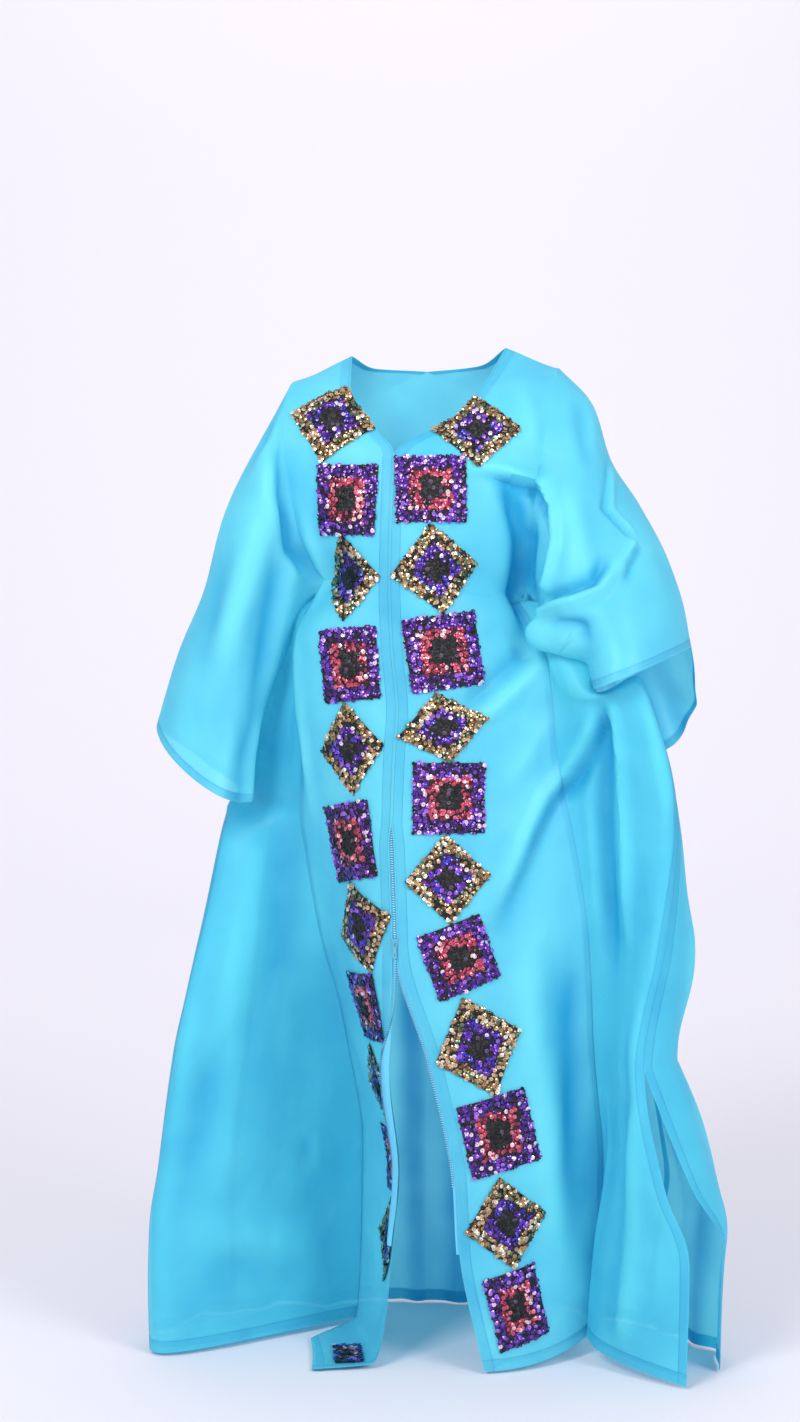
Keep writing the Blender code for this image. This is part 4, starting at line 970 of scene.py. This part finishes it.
def patch_net(side, z, run, tilt, turn, size, drawn):
    """A square laid flat on the cloth: its points, the way out, and its place from -1 to 1."""
    middle_place = np.array([[level_at(side, z), share_at(side, level_at(side, z), run)]])
    middle, down, across = slopes_at(side, middle_place)
    out = np.cross(down[0], across[0]) * side
    out = out / np.linalg.norm(out)
    sideways = across[0] / np.linalg.norm(across[0]) * side
    downward = np.cross(sideways, out)
    downward = downward * -np.sign(downward[2])
    angle = math.radians(tilt)
    plane = np.stack((
        sideways * math.cos(angle) + downward * math.sin(angle),
        downward * math.cos(angle) - sideways * math.sin(angle),
    ))
    spread_out = np.linspace(-1, 1, NET_CELLS + 1)
    q, p = np.meshgrid(spread_out, spread_out, indexing="ij")
    target = np.stack((p.ravel(), q.ravel()), -1) * size / 2
    cos, sin = math.cos(math.radians(turn)), math.sin(math.radians(turn))
    target = target @ np.array(((cos, sin), (-sin, cos))) * drawn
    place = np.repeat(middle_place, len(target), axis=0)
    for _ in range(6):
        spot, down, across = slopes_at(side, place)
        miss = (middle - spot) @ plane.T + target
        turn = np.stack((down @ plane.T, across @ plane.T), -1)
        place = place + np.linalg.solve(turn, miss[..., None])[..., 0]
        place = np.clip(place, 0, (len(FRONT_PANEL[side]) - 1 - STEP, 1))
    points, ways = on_cloth(cloths["front", side], place)
    shape = (NET_CELLS + 1, NET_CELLS + 1)
    return points.reshape(*shape, 3), ways.reshape(*shape, 3), np.stack((p, q), -1)


def named_input(tree, name, kind, value=None):
    """An input of a geometry tree, which the modifier shows under its name."""
    socket = tree.interface.new_socket(name=name, in_out="INPUT", socket_type=kind)
    if value is not None:
        socket.default_value = value
    return socket


def new_tree(name):
    """An empty geometry tree with a mesh going in and a mesh coming out."""
    tree = bpy.data.node_groups.new(name, "GeometryNodeTree")
    named_input(tree, "Mesh", "NodeSocketGeometry")
    tree.interface.new_socket(name="Mesh", in_out="OUTPUT", socket_type="NodeSocketGeometry")
    return tree, Nodes(tree)


def grow(tree, base, name, **settings):
    """What a geometry tree makes of a base mesh, as a plain mesh of its own."""
    modifier = base.modifiers.new(tree.name, "NODES")
    modifier.node_group = tree
    for item in tree.interface.items_tree:
        if item.in_out == "INPUT" and item.name.replace(" ", "_") in settings:
            modifier[item.identifier] = settings[item.name.replace(" ", "_")]
    bpy.context.view_layer.update()
    graph = bpy.context.evaluated_depsgraph_get()
    mesh = bpy.data.meshes.new_from_object(base.evaluated_get(graph), depsgraph=graph)
    base.modifiers.remove(modifier)
    return new_object(name, mesh)


def sequin_tree():
    """Scatters overlapping cupped discs over a net, tilted a little, in three rings."""
    tree, nodes = new_tree("sequins")
    for setting, value in {
        "Radius": 0.0031, "Spacing": 0.0036, "Tilt": 0.38, "Inner Edge": 0.34, "Outer Edge": 0.62,
    }.items():
        named_input(tree, setting, "NodeSocketFloat", value)
    named_input(tree, "Seed", "NodeSocketInt", 1)
    for ring in ("Outer", "Middle", "Centre"):
        named_input(tree, ring, "NodeSocketMaterial")
    given = nodes.add("NodeGroupInput").outputs

    def random(low=0.0, high=1.0):
        node = nodes.add("FunctionNodeRandomValue", {"data_type": "FLOAT"}, Seed=given["Seed"])
        node.inputs[2].default_value, node.inputs[3].default_value = low, high
        return node.outputs[1]

    def read_ring():
        kind = {"data_type": "FLOAT"}
        return nodes.take("GeometryNodeInputNamedAttribute", kind, Name="ring")

    dots = nodes.add(
        "GeometryNodeDistributePointsOnFaces", {"distribute_method": "POISSON"},
        Mesh=given["Mesh"], Distance_Min=given["Spacing"], Density_Max=120000.0,
        Seed=given["Seed"],
    ).outputs
    disc = nodes.add(
        "GeometryNodeMeshCone", {"fill_type": "NONE"}, Vertices=8, Radius_Top=0.0006,
        Radius_Bottom=given["Radius"], Depth=0.0005,
    ).outputs["Mesh"]
    lean = nodes.add("FunctionNodeRandomValue", {"data_type": "FLOAT_VECTOR"}, Seed=given["Seed"])
    for socket, bound in enumerate((nodes.math("MULTIPLY", given["Tilt"], -1.0), given["Tilt"])):
        span = nodes.take("ShaderNodeCombineXYZ", X=bound, Y=bound, Z=3.1)
        tree.links.new(span, lean.inputs[socket])
    leaning = nodes.take("FunctionNodeEulerToRotation", Euler=lean.outputs[0])
    turn = nodes.take(
        "FunctionNodeRotateRotation", {"rotation_space": "LOCAL"}, Rotation=dots["Rotation"],
        Rotate_By=leaning,
    )
    geometry = nodes.take(
        "GeometryNodeInstanceOnPoints", Points=dots["Points"], Instance=disc, Rotation=turn,
        Scale=random(0.88, 1.1),
    )
    raised = nodes.take("ShaderNodeCombineXYZ", Z=random(0.0006, 0.0016))
    geometry = nodes.take("GeometryNodeTranslateInstances", Instances=geometry, Translation=raised)
    where = nodes.math("ADD", read_ring(), random(-0.02, 0.02))
    for kept, value in (("tone", random()), ("ring", where)):
        geometry = nodes.take(
            "GeometryNodeStoreNamedAttribute", {"data_type": "FLOAT", "domain": "INSTANCE"},
            Geometry=geometry, Name=kept, Value=value,
        )
    geometry = nodes.take("GeometryNodeRealizeInstances", Geometry=geometry)
    geometry = nodes.take("GeometryNodeSetMaterial", Geometry=geometry, Material=given["Outer"])
    kept = read_ring()
    for bound, made_of in (("Outer Edge", "Middle"), ("Inner Edge", "Centre")):
        inside = nodes.take(
            "FunctionNodeCompare", {"data_type": "FLOAT", "operation": "LESS_THAN"},
            _0=kept, _1=given[bound],
        )
        geometry = nodes.take(
            "GeometryNodeSetMaterial", Geometry=geometry, Selection=inside,
            Material=given[made_of],
        )
    nodes.add("NodeGroupOutput", Mesh=geometry)
    return tree


def sequin_finish(name, tones, metal, rough=0.2, coat=0.6):
    """tones: the colours from the darkest sequins to the palest, each with where it starts."""
    finish, tree = new_finish(name)
    ramp = tree.add("ShaderNodeValToRGB", Fac=tree.attribute("tone"))
    ramp.color_ramp.interpolation = "CONSTANT"
    stops = ramp.color_ramp.elements
    for k, (start, colour) in enumerate(tones):
        stop = stops[k] if k < 2 else stops.new(start)
        stop.position, stop.color = start, (*colour, 1)
    bump = tree.bump(tree.noise(tree.place(), 900.0, 2.0), 0.25, 0.0003)
    tree.surface(tree.skin(
        ramp.outputs[0], bump, rough, Metallic=metal, Coat_Weight=coat, Coat_Roughness=0.06
    ))
    return finish


def net_finish():
    finish, tree = new_finish("black net")
    holes = tree.add("ShaderNodeTexVoronoi", Vector=tree.weave(), Scale=900.0).outputs["Distance"]
    shade = tree.remap(holes, To_Min=0.004, To_Max=0.02)
    colour = tree.take("ShaderNodeCombineColor", Red=shade, Green=shade, Blue=shade)
    tree.surface(tree.skin(colour, tree.bump(holes, 0.6, 0.0004), 0.85))
    return finish


BLACK_NET = net_finish()
GOLD = sequin_finish("gold sequins", (
    (0.0, (0.02, 0.018, 0.012)), (0.18, (0.20, 0.11, 0.04)), (0.42, (0.44, 0.27, 0.12)),
    (0.68, (0.70, 0.48, 0.29)), (0.86, (0.12, 0.20, 0.12)), (0.93, (0.95, 0.85, 0.68)),
), 0.85)
VIOLET = sequin_finish("violet sequins", (
    (0.0, (0.008, 0.004, 0.02)), (0.22, (0.05, 0.012, 0.22)), (0.50, (0.12, 0.03, 0.42)),
    (0.74, (0.04, 0.04, 0.50)), (0.86, (0.32, 0.12, 0.75)), (0.95, (0.85, 0.70, 0.95)),
), 0.7)
PURPLE = sequin_finish("purple sequins", (
    (0.0, (0.010, 0.004, 0.022)), (0.26, (0.045, 0.010, 0.16)), (0.52, (0.085, 0.018, 0.28)),
    (0.76, (0.17, 0.04, 0.50)), (0.88, (0.40, 0.16, 0.80)), (0.955, (0.90, 0.66, 0.88)),
), 0.7)
RASPBERRY = sequin_finish("raspberry sequins", (
    (0.0, (0.030, 0.004, 0.012)), (0.24, (0.30, 0.02, 0.06)), (0.50, (0.58, 0.06, 0.12)),
    (0.78, (0.75, 0.14, 0.20)), (0.92, (0.95, 0.62, 0.62)),
), 0.6)
BLACK = sequin_finish("black sequins", (
    (0.0, (0.002, 0.002, 0.003)), (0.80, (0.005, 0.004, 0.008)), (0.975, (0.08, 0.05, 0.10)),
), 0.0, 0.5, 0.0)

sequins = sequin_tree()
for side in (RIGHT, LEFT):
    for number, (z, run, tilt, *drawn) in enumerate(PATCHES[side], start=1):
        name = f"{SIDES[side]}_{number:02d}"
        corner_down = number % 2 == 1
        size = PATCH_TURNED if corner_down else PATCH_UPRIGHT
        points, ways, place = patch_net(side, z, run, tilt, 45 * corner_down, size, drawn)
        mesh_place = np.concatenate((place * size / 2, np.zeros_like(place)), axis=-1)
        points = points + ways * NET_LIFT
        net = make_cloth(f"patch_net_{name}", [(points, ways, mesh_place)], NET_THICK, BLACK_NET)
        top = bpy.data.meshes.new("top")
        count = NET_CELLS + 1
        faces = [
            (r * count + c, (r + 1) * count + c, (r + 1) * count + c + 1, r * count + c + 1)
            for r in range(NET_CELLS) for c in range(NET_CELLS)
        ]
        top.from_pydata(points.reshape(-1, 3).tolist(), [], faces)
        if top.polygons[0].normal.dot(Vector(ways[0, 0])) < 0:
            top.flip_normals()
        store(top, "ring", np.abs(place).max(axis=-1))
        base = new_object("top", top)
        outer, middle = (GOLD, VIOLET) if corner_down else (PURPLE, RASPBERRY)
        disc = grow(
            sequins, base, f"sequins_{name}", Seed=number + LEFT_SEEDS * (side == LEFT),
            Outer=outer, Middle=middle, Centre=BLACK,
        )
        bpy.data.objects.remove(base)
        slot = "gold_sequins" if corner_down else "purple_sequins"
        for piece in (net, disc):
            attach(piece, "robe")
        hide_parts(f"patch_{name}")

# ------------------------------------------------------------------------------------ zip
# A nylon coil zip in matching blue: two woven tapes behind the front edges, with a coil of
# teeth along each. Below the slider it is open, and the right tape is turned out.
TAPE_WIDTH, TAPE_THICK, TAPE_BEHIND = 0.014, 0.0006, 0.0021
TEETH_GAP, TEETH_REACH = 0.0004, 0.0015
COIL_LIFT, TURNED_LIFT, SEAM_UNDER = 0.0006, -0.0012, 0.0004  # from the tape's face
UNDER_EDGE = 0.012  # how far the coil runs up under the folded edge
# columns: section, then how far the sewn edge, the middle and the teeth lie in from the front
# edge and before the cloth.
LAPEL = (
    (11.0, 0.0030, -0.0026, -0.0005, -0.0024, -0.0032, -0.0021),
    (11.5, -0.0020, -0.0035, -0.0032, -0.0030, -0.0048, -0.0012),
    (12.0, -0.0030, 0.0000, -0.0010, 0.0060, 0.0060, 0.0090),
    (12.5, -0.0030, 0.0010, 0.0010, 0.0075, 0.0160, 0.0095),
    (13.0, -0.0030, 0.0010, 0.0025, 0.0080, 0.0260, 0.0100),
    (13.5, -0.0030, 0.0010, 0.0015, 0.0075, 0.0210, 0.0095),
    (14.0, -0.0030, 0.0010, 0.0005, 0.0065, 0.0140, 0.0080),
)
ZIP_END = -1.215  # the coils stop here, above the ends of the tapes


def tape_grid(side):
    """A tape's points, from its teeth to its sewn edge, at each row of the front panel."""
    cloth = cloths["front", side]
    rows = np.arange(NECK_POINT * ROWS, SHIN * ROWS + 1)
    level = rows / ROWS
    edge, out = cloth.points[rows, 0], cloth.out[rows, 0]
    inward = cloth.points[rows, 3] - edge
    inward = inward / np.linalg.norm(inward, axis=-1)[:, None]
    sideways = np.zeros_like(inward)
    sideways[:, 0] = side
    gap = edge_gap(edge[:, 2]) - TEETH_GAP
    spots = np.empty((len(rows), 3, 2))
    spots[:, 2] = (TAPE_WIDTH, -TAPE_BEHIND)
    spots[:, 0, 0], spots[:, 0, 1] = -gap, -TAPE_BEHIND
    open_rows = level > ZIP
    if side == LEFT:
        spots[open_rows, 0, 0] -= TEETH_REACH
    spots[:, 1] = (spots[:, 0] + spots[:, 2]) / 2
    if side == RIGHT:
        lapel = read_table([row[1:] for row in LAPEL], (level - LAPEL[0][0]) * 2)
        spots[open_rows] = lapel.reshape(-1, 3, 2)[open_rows][:, ::-1]
    shares = np.linspace(0, 2, 9)
    points = np.empty((len(rows), len(shares), 3))
    for k, share in enumerate(shares):
        low = min(int(share), 1)
        part = share - low
        away, front = (spots[:, low] * (1 - share + low) + spots[:, low + 1] * part).T
        inner = (away > 0) | open_rows
        along = np.where(inner[:, None], inward, sideways)
        points[:, k] = edge + along * away[:, None] + out * front[:, None]
    return Cloth(points, side), level


def tape_finish():
    finish, tree = new_finish("woven zip tape")
    weave = tree.weave()
    ribs, lines = (
        tree.add(
            "ShaderNodeTexWave", {"bands_direction": way}, Vector=weave, Scale=scale,
            Distortion=distortion,
        ).outputs["Fac"]
        for way, scale, distortion in (("Y", 330.0, 0.6), ("X", 140.0, 0.0))
    )
    bump = tree.bump(tree.math("ADD", ribs, lines), 0.4, 0.0002)
    tint = tree.blend(lines, (0.09, 0.50, 0.76), (0.14, 0.60, 0.84))
    tree.surface(tree.skin(tint, bump, 0.7, Sheen_Weight=0.15))
    return finish


def plain_finish(name, low, high, roughness, metal=0.0, coat=0.0):
    """A smooth solid colour with the faint mottling of dye or paint."""
    finish, tree = new_finish(name)
    cloudy = tree.noise(tree.place(), 420.0, 3.0)
    tree.surface(tree.skin(
        tree.blend(cloudy, low, high), tree.bump(cloudy, 0.15, 0.0002), roughness,
        Metallic=metal, Coat_Weight=coat,
    ))
    return finish


def run_tree(name, lengthwise):
    """Sets small lengths of thread or coil along lines, along them or across them."""
    tree, nodes = new_tree(name)
    for setting, value in {
        "Pitch": 0.003, "Length": 0.0024, "Width": 0.0005, "Height": 0.0005,
    }.items():
        named_input(tree, setting, "NodeSocketFloat", value)
    named_input(tree, "Finish", "NodeSocketMaterial")
    given = nodes.add("NodeGroupInput").outputs
    lines = nodes.take("GeometryNodeMeshToCurve", Mesh=given["Mesh"])
    dots = nodes.add(
        "GeometryNodeCurveToPoints", {"mode": "LENGTH"}, Curve=lines, Length=given["Pitch"]
    ).outputs
    way = nodes.take("GeometryNodeInputNamedAttribute", {"data_type": "FLOAT_VECTOR"}, Name="way")
    turn = nodes.take("FunctionNodeAlignRotationToVector", {"axis": "Z"}, Vector=dots["Tangent"])
    turn = nodes.take(
        "FunctionNodeAlignRotationToVector", {"axis": "Y", "pivot_axis": "Z"}, Rotation=turn,
        Vector=way,
    )
    bead = nodes.add("GeometryNodeMeshIcoSphere", Radius=0.5, Subdivisions=1).outputs["Mesh"]
    ends = ("Width", "Length") if lengthwise else ("Length", "Width")
    size = nodes.take(
        "ShaderNodeCombineXYZ", X=given[ends[0]], Y=given["Height"], Z=given[ends[1]]
    )
    geometry = nodes.take(
        "GeometryNodeInstanceOnPoints", Points=dots["Points"], Instance=bead, Rotation=turn,
        Scale=size,
    )
    for kind in ("GeometryNodeRealizeInstances", "GeometryNodeSetShadeSmooth"):
        geometry = nodes.take(kind, Geometry=geometry)
    geometry = nodes.take("GeometryNodeSetMaterial", Geometry=geometry, Material=given["Finish"])
    nodes.add("NodeGroupOutput", Mesh=geometry)
    return tree


def set_along(tree, name, lines, **settings):
    """Runs a tree along lines, each with its points and the way out at each."""
    mesh = bpy.data.meshes.new(name)
    points = np.concatenate([line for line, _ in lines])
    ways = np.concatenate([way for _, way in lines])
    edges, start = [], 0
    for line, _ in lines:
        edges += [(start + k, start + k + 1) for k in range(len(line) - 1)]
        start += len(line)
    mesh.from_pydata(points.tolist(), edges, [])
    store(mesh, "way", ways, "FLOAT_VECTOR", "vector")
    base = new_object(name + " lines", mesh)
    grown = grow(tree, base, name, **settings)
    bpy.data.objects.remove(base)
    return grown


ZIP_CLOTH = tape_finish()
COIL = plain_finish("zip coil", (0.26, 0.66, 0.84), (0.38, 0.76, 0.92), 0.35)
# The coil's seam is drawn as a dark strip under the coil, darker than the thread: partly the real
# seam and partly painted shade that shows between the teeth.
COIL_SEAM_AND_SHADE = plain_finish("zip coil seam", (0.012, 0.17, 0.30), (0.02, 0.22, 0.37), 0.7)
THREAD = plain_finish("sewing thread", (0.02, 0.24, 0.39), (0.04, 0.31, 0.48), 0.6)
teeth, stitches = run_tree("zip teeth", False), run_tree("stitches", True)
for side in (RIGHT, LEFT):
    cloth, level = tape_grid(side)
    tape = make_cloth(f"woven_zip_tape_{SIDES[side]}", [layer(cloth)], TAPE_THICK, ZIP_CLOTH)
    heights = cloth.points[:, 0, 2]
    shown = (heights < EXPOSED_Z + UNDER_EDGE) & (heights > ZIP_END)
    lift = COIL_LIFT
    if side == RIGHT:
        lift = np.where(level[shown] > ZIP, TURNED_LIFT, COIL_LIFT)[:, None]
    line = cloth.points[shown, 0] + cloth.out[shown, 0] * lift
    coil = set_along(
        teeth, f"zip_teeth_{SIDES[side]}", [(line, cloth.out[shown, 0])],
        Pitch=0.0034, Length=0.0042, Width=0.0018, Height=0.0020, Finish=COIL,
    )
    # Painted shade: a dark strip just under the coil, which shows between the teeth.
    sewn = set_along(
        stitches, f"zip_coil_seam_{SIDES[side]}",
        [(line - cloth.out[shown, 0] * SEAM_UNDER, cloth.out[shown, 0])],
        Pitch=0.0030, Length=0.0036, Width=0.0040, Height=0.0010, Finish=COIL_SEAM_AND_SHADE,
    )
    for piece in (tape, coil, sewn):
        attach(piece, "robe")
    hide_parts(f"zip_tape_{SIDES[side]}")

# The slider and its pull tab are cast metal with a baked coat of light blue paint.
PAINTED = plain_finish(
    "painted zip metal", (0.10, 0.38, 0.56), (0.16, 0.47, 0.65), 0.3, metal=0.35, coat=0.5
)
for name in ("zip_slider", "zip_pull_tab"):
    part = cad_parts[name]
    part.data.materials.clear()
    part.data.materials.append(PAINTED)

# -------------------------------------------------------------------------------- stitching
# Topstitching along the hems, facings and slits, in a darker blue thread.
IN_FROM_FOLD = 0.001  # a hem's stitches run this far inside its raw edge
EDGE_STITCH, SEAM_STITCH, STITCH_LIFT = 0.0022, 0.0015, 0.00025


def stitch_line(cloth, edge, inset, first=0, last=None):
    """A line of stitches on the right side, at a distance from an edge, from row to row."""
    points, out, _, back = behind_edge(cloth, edge, slice(first, last))
    line, way = read_behind(points, back, inset), read_behind(out, back, inset)
    return line + way * STITCH_LIFT, way


for side in (RIGHT, LEFT):
    front, gore = cloths["front", side], cloths["gore", side]
    behind, back_half = cloths["gore_behind", side], cloths["back", side]
    for name, lines in {
        "front": (
            (front, "bottom", HEM_WIDTH - IN_FROM_FOLD),
            (front, "first", EDGE_STITCH, 0, ZIP * ROWS),
            (front, "first", FACING_WIDTH - IN_FROM_FOLD, NECK_POINT * ROWS),
            (front, "last", SEAM_STITCH, UPPER + 1),
        ),
        "gore": (
            (gore, "bottom", HEM_WIDTH - IN_FROM_FOLD), (gore, "last", SLIT_HEM - IN_FROM_FOLD, 1),
            (gore, "last", SEAM_STITCH, 1, SLIT + 1), (behind, "bottom", HEM_WIDTH - IN_FROM_FOLD),
            (behind, "first", SLIT_HEM - IN_FROM_FOLD, 1), (behind, "last", SEAM_STITCH, 1),
        ),
        "back": (
            (back_half, "bottom", HEM_WIDTH - IN_FROM_FOLD),
            (back_half, "last", EDGE_STITCH, 0, OPEN_ROWS + 1),
        ),
        "cuff": ((cloths["sleeve", side], "bottom", CUFF_HEM - IN_FROM_FOLD),),
    }.items():
        run = set_along(
            stitches, f"stitching_{name}_{SIDES[side]}", [stitch_line(*line) for line in lines],
            Pitch=0.0032, Length=0.0026, Width=0.0005, Height=0.0004, Finish=THREAD,
        )
        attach(run, "robe")

# ------------------------------------------------------------------------------------ studio
# A white floor that curves up behind into a wall, soft lamps, and the camera.
FLOOR_Z, WALL_Y, SWEEP, HALF_WIDTH, NEAR_Y, WALL_TOP = -1.4875, 8.0, 3.0, 40.0, -40.0, 9.0
SWEEP_STEPS = 16  # in the curve from floor to wall
profile = [(NEAR_Y, FLOOR_Z), (WALL_Y - SWEEP, FLOOR_Z)]
for k in range(1, SWEEP_STEPS + 1):
    turn = math.radians(90 * k / SWEEP_STEPS)
    up = FLOOR_Z + SWEEP * (1 - math.cos(turn))
    profile.append((WALL_Y - SWEEP + SWEEP * math.sin(turn), up))
profile.append((WALL_Y, WALL_TOP))
sweep = bpy.data.meshes.new("studio_floor")
sweep.from_pydata(
    [(x, y, z) for y, z in profile for x in (-HALF_WIDTH, HALF_WIDTH)], [],
    [(2 * k, 2 * k + 1, 2 * k + 3, 2 * k + 2) for k in range(len(profile) - 1)],
)
sweep.shade_smooth()
paper, tree = new_finish("studio paper")
tree.surface(tree.take(
    "ShaderNodeBsdfPrincipled", Base_Color=(0.80, 0.775, 0.83, 1), Roughness=0.9
))
sweep.materials.append(paper)
studio = new_object("studio_floor", sweep)

world = bpy.data.worlds.new("studio")
world.use_nodes = True
glow = world.node_tree.nodes["Background"].inputs
glow["Color"].default_value, glow["Strength"].default_value = (0.93, 0.94, 1.0, 1), 0.70
bpy.context.scene.world = world


def soft_lamp(name, place, aim, width, height, power, colour=(1, 1, 1)):
    lamp = bpy.data.lights.new(name, "AREA")
    lamp.shape = "RECTANGLE"
    lamp.size, lamp.size_y, lamp.energy, lamp.color = width, height, power, colour
    built = new_object(name, lamp)
    built.location = place
    built.rotation_euler = (Vector(aim) - Vector(place)).to_track_quat("-Z", "Y").to_euler()


soft_lamp("key", (-2.0, -3.6, 2.0), (0, 0, -0.6), 1.6, 1.6, 118)
soft_lamp("fill", (2.6, -3.4, 1.2), (0, 0, -0.6), 1.6, 1.6, 80)
soft_lamp("backdrop", (0.0, 3.2, 4.4), (0, 7.6, 0.2), 6.0, 1.0, 170)

REACH, FILM = 2800, 1422  # the lens's length, for a frame of this height
TIPPED = 3.2  # degrees that the camera looks down
camera = bpy.data.cameras.new("camera")
camera.lens = camera.sensor_width * REACH / FILM
eye = new_object("camera", camera)
eye.location = (-0.0356, -4.15, -0.300)
eye.rotation_euler = (math.radians(90 - TIPPED), 0, 0)
bpy.context.scene.camera = eye
bpy.context.scene.view_settings.view_transform = "Standard"
